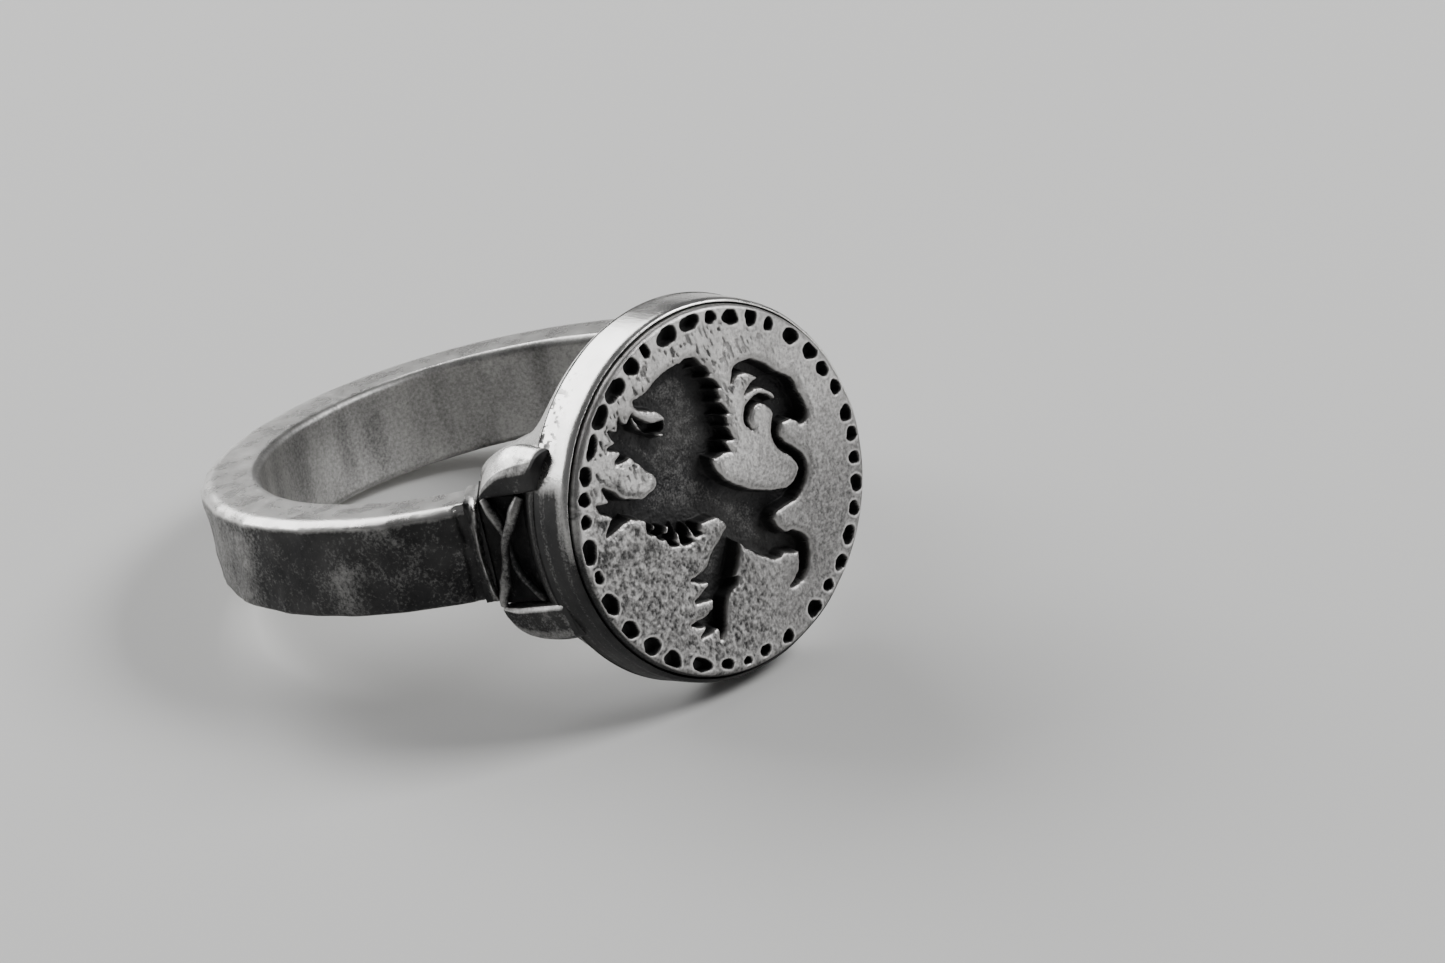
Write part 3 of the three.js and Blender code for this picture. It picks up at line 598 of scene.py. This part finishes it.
def band_section():
    """The band's section: distance from the middle of the finger hole, and height."""
    a, b, h = BORE_R, BAND_R, BAND_HALF
    section = []

    def line(p, q, count):
        for k in range(count):
            t = k / count
            section.append((p[0] + (q[0] - p[0]) * t, p[1] + (q[1] - p[1]) * t))

    def corner(cx, cz, start, across):
        for k in range(9):
            t = math.radians(start + 90 * k / 9)
            section.append((cx + across * math.cos(t), cz + EDGE * math.sin(t)))

    line((b, -h + EDGE), (b, h - EDGE), 34)
    corner(b - WIDE_EDGE, h - EDGE, 0, WIDE_EDGE)
    line((b - WIDE_EDGE, h), (a + EDGE, h), 14)
    corner(a + EDGE, h - EDGE, 90, EDGE)
    line((a, h - EDGE), (a, -h + EDGE), 20)
    corner(a + EDGE, -h + EDGE, 180, EDGE)
    line((a + EDGE, -h), (b - WIDE_EDGE, -h), 14)
    corner(b - WIDE_EDGE, -h + EDGE, 270, WIDE_EDGE)
    return np.array(section)


def make_band():
    """The hammered band, from one collar round the back to the other."""
    steps = 760
    theta = np.radians(np.linspace(BAND_END - 0.15, 360 - BAND_END + 0.15, steps))
    section = band_section()
    cols = len(section)
    t = np.broadcast_to(theta[:, None], (steps, cols))
    r = np.broadcast_to(section[:, 0], t.shape)
    z = np.broadcast_to(section[:, 1], t.shape)
    s = t * BAND_R
    length = 2 * math.pi * BAND_R
    outer = step((r - (BAND_R - 0.6)) / 0.5)
    hammer = dimples(s, z * 1.15, length, 1.45, 5.5, 3)
    mottle = 0.018 * fbm(s * 1.9, z * 1.9, 81) + 0.007 * fbm(s * 6, z * 6, 82, 2)
    tool = 0.012 * noise(s * 2.6, z * 0.35, 83)
    dent = np.minimum(hammer + mottle + tool - 0.055, -0.005)
    # a scalloped hollow beside each collar
    angle = np.degrees(np.minimum(t, 2 * math.pi - t))
    scallop = COLLAR_SIDE + 0.75 * noise(z * 1.7 + 4, z * 0 + 2.5, 84)
    hollow = step((scallop - angle) / 0.9)
    dent = dent - 0.17 * hollow
    sideways = np.where(np.abs(z) > BAND_HALF - 0.7, 1.0, 0.0)
    r = r + dent * outer
    # the flat sides are a little uneven too
    z = z - np.sign(z) * sideways * (0.012 + 0.02 * noise(s * 0.5, np.sign(z) * 7, 85) ** 2)
    z = z - np.sign(z) * sideways * 0.005 * np.abs(noise(s * 1.4, r * 1.6, 86))
    # oxide: dark outside and lighter towards the back, rubbed off the edges; the grey in the hole
    # is a painted dark reflection
    patina_and_shade = 0.9 + 0.06 * fbm(s * 0.6, z * 0.9, 87) + 0.06 * fbm(s * 3.6, z * 3.6, 88)
    patina_and_shade = patina_and_shade + 0.03 * noise(s * 9, z * 2.2, 94) - 0.22 * step((angle - 86) / 26)
    patina_and_shade = np.clip(patina_and_shade - 0.9 * (hammer + 0.01), 0.3, 0.96)
    near_head = step((66 - angle) / 16)
    patina_and_shade = np.maximum(patina_and_shade, near_head * (0.88 + 0.1 * fbm(s * 2.1, z * 2.1, 89)))
    patina_and_shade = np.maximum(patina_and_shade, 0.95 * hollow) * outer
    patina_and_shade = patina_and_shade * step((BAND_HALF - 0.18 - z) / 0.26) * step((z + BAND_HALF + 0.1) / 0.15)
    # painted dark reflection inside the finger hole
    inner = step((BORE_R + 0.3 - r) / 0.2)
    patina_and_shade = np.maximum(patina_and_shade, inner * (0.54 + 0.3 * fbm(s * 0.5, z * 0.2, 90)))
    points = np.stack([r * np.cos(t), r * np.sin(t), z], -1).reshape(-1, 3)
    patina_and_shade = np.clip(patina_and_shade, 0, 1).reshape(-1)
    obj = make_mesh("band", points, tube_faces(steps, cols), patina_and_shade)
    return settle(obj, ["shank_band"])


# ------------------------------------------------------------------ the shoulders

COLLAR_R, COLLAR_DEPTH = 12.4, 2.42  # outside radius and thickness of the collars


def make_collar(side, label):
    """A ferrule between band and head whose outside carries one thin bowed rib."""
    across, tall = 40, 72
    degrees, z = np.meshgrid(
        np.linspace(41.15, 43.95, across), np.linspace(-2.16, 2.16, tall), indexing="ij"
    )
    crest = 42.75 - 0.24 * z * z
    rib = np.exp(-(((degrees - crest) / 0.55) ** 2))
    ends = 1 - step((np.abs(z) - 1.9) / 0.3)
    r = COLLAR_R - 0.06 + 0.25 * rib * (0.8 + 0.2 * noise(z * 2.2, z * 0, 91)) * (0.5 + 0.5 * ends)
    bead = np.exp(-(((degrees - 41.75) / 0.75) ** 2 + ((z - 2.02) / 0.17) ** 2))
    r = r + 0.02 * noise(degrees * 3, z * 5, 92) - 0.08 * (1 - ends) + 0.2 * bead
    a = np.radians(degrees)
    front = np.stack([r * np.cos(a), side * r * np.sin(a), z], -1)
    inward = (COLLAR_R - COLLAR_DEPTH) / COLLAR_R
    back = front * np.array([inward, inward, 1.0])
    # the rib is rubbed lighter along its crest; its top end is painted lighter and the bead left
    # bare, as a painted highlight
    rubbed = 0.38 + 0.25 * noise(z * 2.5, degrees * 2, 93) + 0.2 * step((z - 1.2) / 0.8)
    flank = np.exp(-(((degrees - crest - 0.05) / 0.62) ** 2))
    outside = np.clip(0.97 - rubbed * flank - 1.4 * bead, 0, 1)
    dark = np.concatenate([outside.reshape(-1), np.full(across * tall, 0.2)])
    points, faces = slab_mesh(front, back)
    obj = make_mesh("collar_" + label, points, faces, dark)
    return settle(obj, ["collar_rib_" + label])


def slab_mesh(front, back):
    """A closed solid from two matching grids of points."""
    rows, cols = front.shape[:2]
    n = rows * cols
    points = np.concatenate([front.reshape(-1, 3), back.reshape(-1, 3)])
    faces = grid_faces(rows, cols) + grid_faces(rows, cols, offset=n)
    edge = list(range(cols)) + [i * cols + cols - 1 for i in range(1, rows)]
    edge += [n - 2 - j for j in range(cols - 1)] + [i * cols for i in range(rows - 2, 0, -1)]
    for a, b in zip(edge, edge[1:] + edge[:1]):
        faces.append([a, b, b + n, a + n])
    return points, faces


# The panel runs from the collar to the head; x and y of its ends, its direction and its outside.
PANEL_FOOT = np.array([9.26, 8.08])
PANEL_ALONG = np.array([11.5, 7.26]) - PANEL_FOOT
PANEL_OUT = np.array([-PANEL_ALONG[1], PANEL_ALONG[0]]) / np.hypot(*PANEL_ALONG)
# Its hidden back, inside the shoulder.
BACK_FOOT, BACK_HEAD = np.array([7.5, 6.5]), np.array([10.6, 6.6])
PANEL_HALF = 2.3


def make_panel(side, label):
    """The sunk, blackened ground between the caps."""
    rows, cols = 46, 60
    u, v = np.meshgrid(np.linspace(0, 1, rows), np.linspace(-1, 1, cols), indexing="ij")
    seed = 90 if side > 0 else 95
    sink = 0.05 * fbm(u * 5, v * 5, seed) + 0.02 * fbm(u * 14, v * 14, seed + 1) - 0.05
    sink -= 0.12 * np.sin(math.pi * u) * (1 - v * v)
    x = PANEL_FOOT[0] + PANEL_ALONG[0] * u + PANEL_OUT[0] * sink
    y = PANEL_FOOT[1] + PANEL_ALONG[1] * u + PANEL_OUT[1] * sink
    front = np.stack([x, side * y, v * PANEL_HALF], -1)
    x, y = (BACK_FOOT[k] + (BACK_HEAD[k] - BACK_FOOT[k]) * u for k in (0, 1))
    back = np.stack([x, side * y, v * PANEL_HALF], -1)
    points, faces = slab_mesh(front, back)
    dark = np.full(len(points), 1.0)
    dark[: rows * cols] -= 0.2 * np.clip(fbm(u * 4, v * 4, seed + 2), 0, 1).reshape(-1)
    obj = make_mesh("panel_" + label, points, faces, dark)
    return settle(obj, ["shoulder_panel_" + label])


# Lines that run along a shoulder cap from its tip, beside the collar, to its end on the drum:
# lower edge, foot of the bevel, ridge, crown, root under the head.
UPPER_CAP = [
    [(9.5, 8.12, 2.2), (10, 8.08, 2.3), (11.5, 7.86, 2.5), (12.2, 7.74, 2.6), (12.66, 7.6, 2.68)],
    [
        (9.56, 8.16, 2.3), (9.85, 8.16, 2.62), (10.9, 8.06, 3.26), (12.2, 7.86, 3.5),
        (12.84, 7.7, 3.62),
    ],
    [
        (9.6, 8.13, 2.4), (9.9, 8.06, 2.86), (10.7, 7.92, 3.44), (11.9, 7.72, 3.88),
        (13.08, 7.4, 4.1),
    ],
    [
        (9.05, 7.72, 2.2), (9.45, 7.68, 3.05), (10.2, 7.5, 3.9), (11.4, 7.3, 4.35),
        (13.1, 6.98, 4.2),
    ],
    [(8.8, 7.2, 2.2), (9.2, 7, 3.1), (10, 6.8, 3.9), (11.4, 6.6, 4.3), (13.2, 6.5, 4.2)],
]
LOWER_CAP = [
    [
        (9.34, 8.06, 2.4), (10.1, 7.98, 2.42), (11.2, 7.84, 2.32), (12.2, 7.66, 2.24),
        (12.9, 7.5, 2.2),
    ],
    [
        (9.34, 8.17, 2.56), (10.2, 8.12, 2.64), (11.4, 7.95, 2.52), (12.2, 7.8, 2.44),
        (12.9, 7.62, 2.38),
    ],
    [
        (9.42, 8.1, 2.9), (9.9, 7.98, 3.46), (10.8, 7.84, 3.72), (11.9, 7.66, 3.7),
        (12.95, 7.35, 3.52),
    ],
    [(9.05, 7.7, 2.9), (9.5, 7.46, 3.62), (10.4, 7.25, 3.98), (11.9, 7.1, 3.98), (12.9, 7, 3.75)],
    [(8.9, 7.2, 2.4), (9.3, 6.9, 3.3), (10.2, 6.7, 3.8), (11.9, 6.6, 3.8), (13.2, 6.5, 3.6)],
]
# Oxide and painted shade of a cap's strips, upper then lower: points in the strip and their
# patina_and_shade, for the bevel, the slope up to the ridge, the top, the root, and the hidden
# underside. The upper cap's top is painted light and the lower cap's dark, as painted light and
# shade.
CAP_OXIDE_AND_SHADE = {
    1: [(8, 0.95), (7, 0.66), (14, 0.12), (2, 0.6), (3, 1.0)],
    -1: [(8, 0.4), (7, 0.86), (14, 0.8), (2, 0.6), (3, 0.3)],
}


def sample_line(points, count):
    """Evenly spaced points along a smooth line."""
    path = spline(points, False, 16)
    length = np.concatenate([[0], np.cumsum(np.linalg.norm(np.diff(path, axis=0), axis=1))])
    at = np.linspace(0, length[-1], count)
    return np.stack([np.interp(at, length, path[:, k]) for k in range(3)], -1)


def make_cap(lines, side, level, label):
    """A beak-shaped block above (level 1) or below (-1) the panel, lofted through five lines."""
    count = 56
    foot, bevel, ridge, crown, root = [sample_line(line, count) for line in lines]
    inner = foot * np.array([1.0, 0.0, 1.0]) + np.array([0.1, 6.6, 0.0])
    k = np.linspace(0, 1, count)
    shade = np.concatenate([np.full(n, value) for n, value in CAP_OXIDE_AND_SHADE[level]])
    dark = np.tile(shade, (count, 1))
    rings = []
    for i in range(count):
        face = [foot[i] + (bevel[i] - foot[i]) * t for t in np.linspace(0, 1, 9)[:-1]]
        slope = [bevel[i] + (ridge[i] - bevel[i]) * t for t in np.linspace(0, 1, 8)[:-1]]
        top = []
        for t in np.linspace(0, 1, 15)[:-1]:
            bow = ridge[i] * (1 - t) ** 2 + root[i] * t * t
            top.append(bow + 2 * t * (1 - t) * (2 * crown[i] - (ridge[i] + root[i]) / 2))
        hidden = [root[i] + (inner[i] - root[i]) * t for t in (0.0, 0.5)]
        under = [inner[i] + (foot[i] - inner[i]) * t for t in (0.0, 0.5, 0.9)]
        ring = np.array(face + slope + top + hidden + under)
        # two passes of smoothing soften every edge
        for _ in range(2):
            ring = ring * 0.5 + (np.roll(ring, 1, 0) + np.roll(ring, -1, 0)) * 0.25
        rings.append(ring)
    points = np.stack(rings)
    # the upper cap's ridge is painted bright as a painted highlight, the lower cap's only a
    # little; the end against the drum stays dark
    dark[:, 14:17] *= 0.15 if level > 0 else 0.8
    dark = np.maximum(dark, 1.2 * step((k - 0.9) / 0.06)[:, None])
    cloud = fbm(points[..., 0] * 3.5, points[..., 2] * 3.5 + points[..., 1] * 2, 97)
    points[..., 1] += 0.014 * cloud
    dark = np.clip(dark + 0.2 * cloud, 0, 1)
    points = points * np.array([1.0, side, level])
    faces = tube_faces(count, points.shape[1])
    obj = make_mesh("cap_" + label, points.reshape(-1, 3), faces, dark.reshape(-1))
    return settle(obj, ["shoulder_cap_" + label])


# The crossing strands: place along the panel from the collar, height, lift off it, half width.
LOW_STRAND = [
    (0.18, 2.25, 0.12, 0.2), (0.3, 1.8, 0.26, 0.25), (0.41, 1.25, 0.26, 0.22),
    (0.46, 0.6, 0.18, 0.17), (0.49, -0.4, 0.14, 0.16), (0.6, -1.1, 0.16, 0.17),
    (0.79, -1.75, 0.14, 0.16), (0.92, -2.2, 0.08, 0.14),
]
HIGH_STRAND = [
    (0.92, 2.3, 0.1, 0.2), (0.78, 1.75, 0.28, 0.27), (0.65, 1.15, 0.34, 0.23),
    (0.5, 0.5, 0.46, 0.19), (0.41, -0.2, 0.36, 0.18), (0.31, -0.9, 0.28, 0.22),
    (0.26, -1.35, 0.3, 0.27), (0.15, -1.9, 0.24, 0.22), (0.07, -2.35, 0.12, 0.16),
]


def make_strand(points, side, seed, dark_from, label):
    """A strand across the panel, painted lighter on its top as a painted highlight as far as
    dark_from of its length.
    """
    curve = spline(points, False, 9)
    base = PANEL_FOOT + curve[:, :1] * PANEL_ALONG + curve[:, 2:3] * PANEL_OUT
    path = np.stack([base[:, 0], side * base[:, 1], curve[:, 1]], -1)
    n, sides = len(path), 22
    t = np.gradient(path, axis=0)
    t /= np.linalg.norm(t, axis=1)[:, None]
    across = np.cross(t, np.array([PANEL_OUT[0], side * PANEL_OUT[1], 0.0]))
    across /= np.linalg.norm(across, axis=1)[:, None]
    up = np.cross(across, t)
    a = np.linspace(0, 2 * math.pi, sides, endpoint=False)
    k = np.linspace(0, 1, n)
    wobble = 1 + 0.12 * noise(*np.meshgrid(k * 11, np.cos(a) * 1.5 + 3, indexing="ij"), seed)
    width = curve[:, 3:4] * wobble
    # a soft keel along the top
    profile = np.sin(a) * (0.75 + 0.25 * np.abs(np.sin(a)) ** 3)
    points = path[:, None] + across[:, None] * (width * np.cos(a) * 1.05)[..., None]
    points = points + up[:, None] * (width * profile)[..., None]
    # painted highlight along the strand's top, brightest towards its ends
    lit = np.clip(np.sin(a), 0, 1) ** 2
    highlight_ends = 0.22 + 0.5 * np.abs(2 * k - 1) ** 1.5
    highlight_ends = np.where(k > dark_from, 0.12, highlight_ends)
    dark = 0.97 - 0.75 * lit[None] * highlight_ends[:, None]
    faces = tube_faces(n, sides)
    obj = make_mesh("strand_" + label, points.reshape(-1, 3), faces, dark.reshape(-1))
    return settle(obj, ["cross_strand_" + label])


# ------------------------------------------------------------------ materials

# Colours of the black oxide, also used for the painted shade, where it is thick and thin.
OXIDE_AND_SHADE_DARK, OXIDE_AND_SHADE_LIGHT = (0.035, 0.035, 0.036), (0.075, 0.074, 0.073)
BUMP_HEIGHT = 0.02 * MM


def silver_material(name, bright, roughness, grain, bump, streaks=0.0):
    """Silver with scratches, grain, black oxide in the hollows and painted shade, both from the
    vertex patina_and_shade.
    """
    material = bpy.data.materials.new(name)
    material.use_nodes = True
    nodes, links = material.node_tree.nodes, material.node_tree.links
    nodes.clear()
    output = nodes.new("ShaderNodeOutputMaterial")
    shader = nodes.new("ShaderNodeBsdfPrincipled")
    shader.inputs["Metallic"].default_value = 1.0
    links.new(shader.outputs["BSDF"], output.inputs["Surface"])
    place = nodes.new("ShaderNodeTexCoord")
    patina_and_shade = nodes.new("ShaderNodeAttribute")
    patina_and_shade.attribute_name = "patina_and_shade"

    def noise_node(scale, detail, rough=0.6, stretch=None):
        node = nodes.new("ShaderNodeTexNoise")
        node.inputs["Scale"].default_value = scale
        node.inputs["Detail"].default_value = detail
        node.inputs["Roughness"].default_value = rough
        if stretch:
            mapping = nodes.new("ShaderNodeMapping")
            mapping.inputs["Scale"].default_value = stretch
            links.new(place.outputs["Object"], mapping.inputs["Vector"])
            links.new(mapping.outputs["Vector"], node.inputs["Vector"])
        else:
            links.new(place.outputs["Object"], node.inputs["Vector"])
        return node

    def ramp(source, low, high, a=0.0, b=1.0):
        node = nodes.new("ShaderNodeMapRange")
        node.inputs["From Min"].default_value = low
        node.inputs["From Max"].default_value = high
        node.inputs["To Min"].default_value = a
        node.inputs["To Max"].default_value = b
        links.new(source, node.inputs["Value"])
        return node.outputs["Result"]

    def math_node(kind, a, b):
        node = nodes.new("ShaderNodeMath")
        node.operation = kind
        for socket, value in zip(node.inputs, (a, b)):
            if isinstance(value, (int, float)):
                socket.default_value = value
            else:
                links.new(value, socket)
        return node.outputs[0]

    def mix_color(factor, a, b):
        node = nodes.new("ShaderNodeMix")
        node.data_type = "RGBA"
        # inputs 6 and 7 and output 2 are the colours of this node
        links.new(factor, node.inputs["Factor"])
        for socket, value in ((node.inputs[6], a), (node.inputs[7], b)):
            if isinstance(value, tuple):
                socket.default_value = (*value, 1)
            else:
                links.new(value, socket)
        return node.outputs[2]

    cloud = noise_node(260, 5)
    fine = noise_node(grain, 4, 0.7)
    smudge = noise_node(900, 3)
    dull = tuple(c * 0.78 for c in bright)
    base = mix_color(ramp(cloud.outputs["Fac"], 0.35, 0.68), bright, dull)
    # the black oxide and the painted shade: vertex patina_and_shade broken up by fine grain
    breakup = ramp(fine.outputs["Fac"], 0.3, 0.7, -0.14, 0.14)
    amount = math_node("ADD", patina_and_shade.outputs["Fac"], breakup)
    gate = math_node("MULTIPLY", amount, ramp(patina_and_shade.outputs["Fac"], 0.0, 0.08))
    mask = ramp(gate, 0.08, 0.9)
    oxide_and_shade = mix_color(ramp(cloud.outputs["Fac"], 0.4, 0.7), OXIDE_AND_SHADE_DARK, OXIDE_AND_SHADE_LIGHT)
    links.new(mix_color(mask, base, oxide_and_shade), shader.inputs["Base Color"])
    rough = ramp(smudge.outputs["Fac"], 0.3, 0.7, roughness * 0.8, roughness * 1.25)
    rough = math_node("ADD", rough, math_node("MULTIPLY", mask, 0.32))
    links.new(rough, shader.inputs["Roughness"])
    # bump: grain, scratches, and on some pieces the streaks of the file
    scratch = noise_node(900, 2, 0.5, (1.0, 9.0, 0.7))
    scratch = math_node("MULTIPLY", scratch.outputs["Fac"], 0.6)
    height = math_node("ADD", fine.outputs["Fac"], scratch)
    if streaks:
        lines = noise_node(700, 3, 0.6, (0.25, 5.0, 5.0))
        height = math_node("ADD", height, math_node("MULTIPLY", lines.outputs["Fac"], streaks))
    relief = nodes.new("ShaderNodeBump")
    relief.inputs["Strength"].default_value = bump
    relief.inputs["Distance"].default_value = BUMP_HEIGHT
    links.new(height, relief.inputs["Height"])
    links.new(relief.outputs["Normal"], shader.inputs["Normal"])
    return material


SILVER = (0.82, 0.81, 0.79)
polished = silver_material("polished_silver", SILVER, 0.25, 9000, 0.25, streaks=1.2)
worn = silver_material("worn_silver", (0.74, 0.73, 0.71), 0.28, 7000, 0.45)
frosted = silver_material("frosted_silver", (0.54, 0.53, 0.52), 0.33, 11000, 0.9)
oxidised = silver_material("oxidised_silver", (0.5, 0.49, 0.48), 0.5, 8000, 0.8)


def dress(obj, material):
    """Gives a piece its one material."""
    obj.data.materials.clear()
    obj.data.materials.append(material)


# ------------------------------------------------------------------ assembly

dress(make_plate(), frosted)
dress(make_hoop(), polished)
dress(make_head(), polished)
dress(make_band(), worn)
for label, side in (("right", -1), ("left", 1)):
    dress(make_collar(side, label), worn)
    dress(make_panel(side, label), oxidised)
    dress(make_cap(UPPER_CAP, side, 1, "upper_" + label), polished)
    dress(make_cap(LOWER_CAP, side, -1, "lower_" + label), polished)
    dress(make_strand(LOW_STRAND, side, 101, 0.45, "under_" + label), worn)
    dress(make_strand(HIGH_STRAND, side, 105, 1.0, "over_" + label), worn)

# ------------------------------------------------------------------ floor, light and camera

FLOOR_HALF = 1.5  # metres


def make_floor():
    """A plain pale table top at height zero."""
    data = bpy.data.meshes.new("floor")
    s = FLOOR_HALF
    data.from_pydata([(-s, -s, 0), (s, -s, 0), (s, s, 0), (-s, s, 0)], [], [[0, 1, 2, 3]])
    floor = bpy.data.objects.new("floor", data)
    bpy.context.scene.collection.objects.link(floor)
    material = bpy.data.materials.new("floor")
    material.use_nodes = True
    shader = material.node_tree.nodes["Principled BSDF"]
    shader.inputs["Base Color"].default_value = (0.72, 0.72, 0.71, 1)
    shader.inputs["Roughness"].default_value = 0.8
    data.materials.append(material)


def area_light(name, position, target, size, energy):
    """A soft rectangular light that faces its target."""
    light = bpy.data.lights.new(name, "AREA")
    light.shape = "RECTANGLE"
    light.size, light.size_y = size
    light.energy = energy
    obj = bpy.data.objects.new(name, light)
    obj.location = position
    obj.rotation_mode = "QUATERNION"
    obj.rotation_quaternion = (Vector(target) - Vector(position)).to_track_quat("-Z", "Y")
    bpy.context.scene.collection.objects.link(obj)


make_floor()
face_centre = CENTRE + OUT * FACE_X * MM
area_light("key", (0.2, 0.3, 0.34), face_centre, (0.2, 0.2), 1.9)
area_light("left", (-0.42, -0.02, 0.26), face_centre, (0.5, 0.32), 2.7)
area_light("low", (-0.36, -0.235, 0.1), face_centre, (0.24, 0.14), 0.42)
area_light("side", (0.42, 0.3, 0.02), face_centre, (0.2, 0.1), 0.5)

world = bpy.data.worlds.new("studio")
bpy.context.scene.world = world
world.use_nodes = True
background = world.node_tree.nodes["Background"]
background.inputs["Color"].default_value = (0.5, 0.5, 0.51, 1)
background.inputs["Strength"].default_value = 0.25

# The camera looks past the seal's right side from above, through a long lens. ROLL turns it about
# its line of sight. It aims RISE above the middle of the seal, DISTANCE away; both are in metres.
AZIMUTH, ELEVATION, ROLL = math.radians(49.95), math.radians(27.07), math.radians(4.68)
DISTANCE, RISE, LENS = 0.32513, 0.00039, 199.3
back = Vector((
    math.sin(AZIMUTH) * math.cos(ELEVATION),
    -math.cos(AZIMUTH) * math.cos(ELEVATION),
    math.sin(ELEVATION),
))
camera = bpy.data.cameras.new("camera")
camera.lens = LENS
camera.sensor_width = 36.0
camera.clip_start, camera.clip_end = 0.01, 10.0
viewer = bpy.data.objects.new("camera", camera)
bpy.context.scene.collection.objects.link(viewer)
viewer.rotation_mode = "QUATERNION"
turn = (-back).to_track_quat("-Z", "Y")
turn = turn @ Quaternion((0, 0, 1), -ROLL)
up = turn @ Vector((0, 1, 0))
viewer.rotation_quaternion = turn
viewer.location = face_centre + up * RISE + back * DISTANCE
bpy.context.scene.camera = viewer
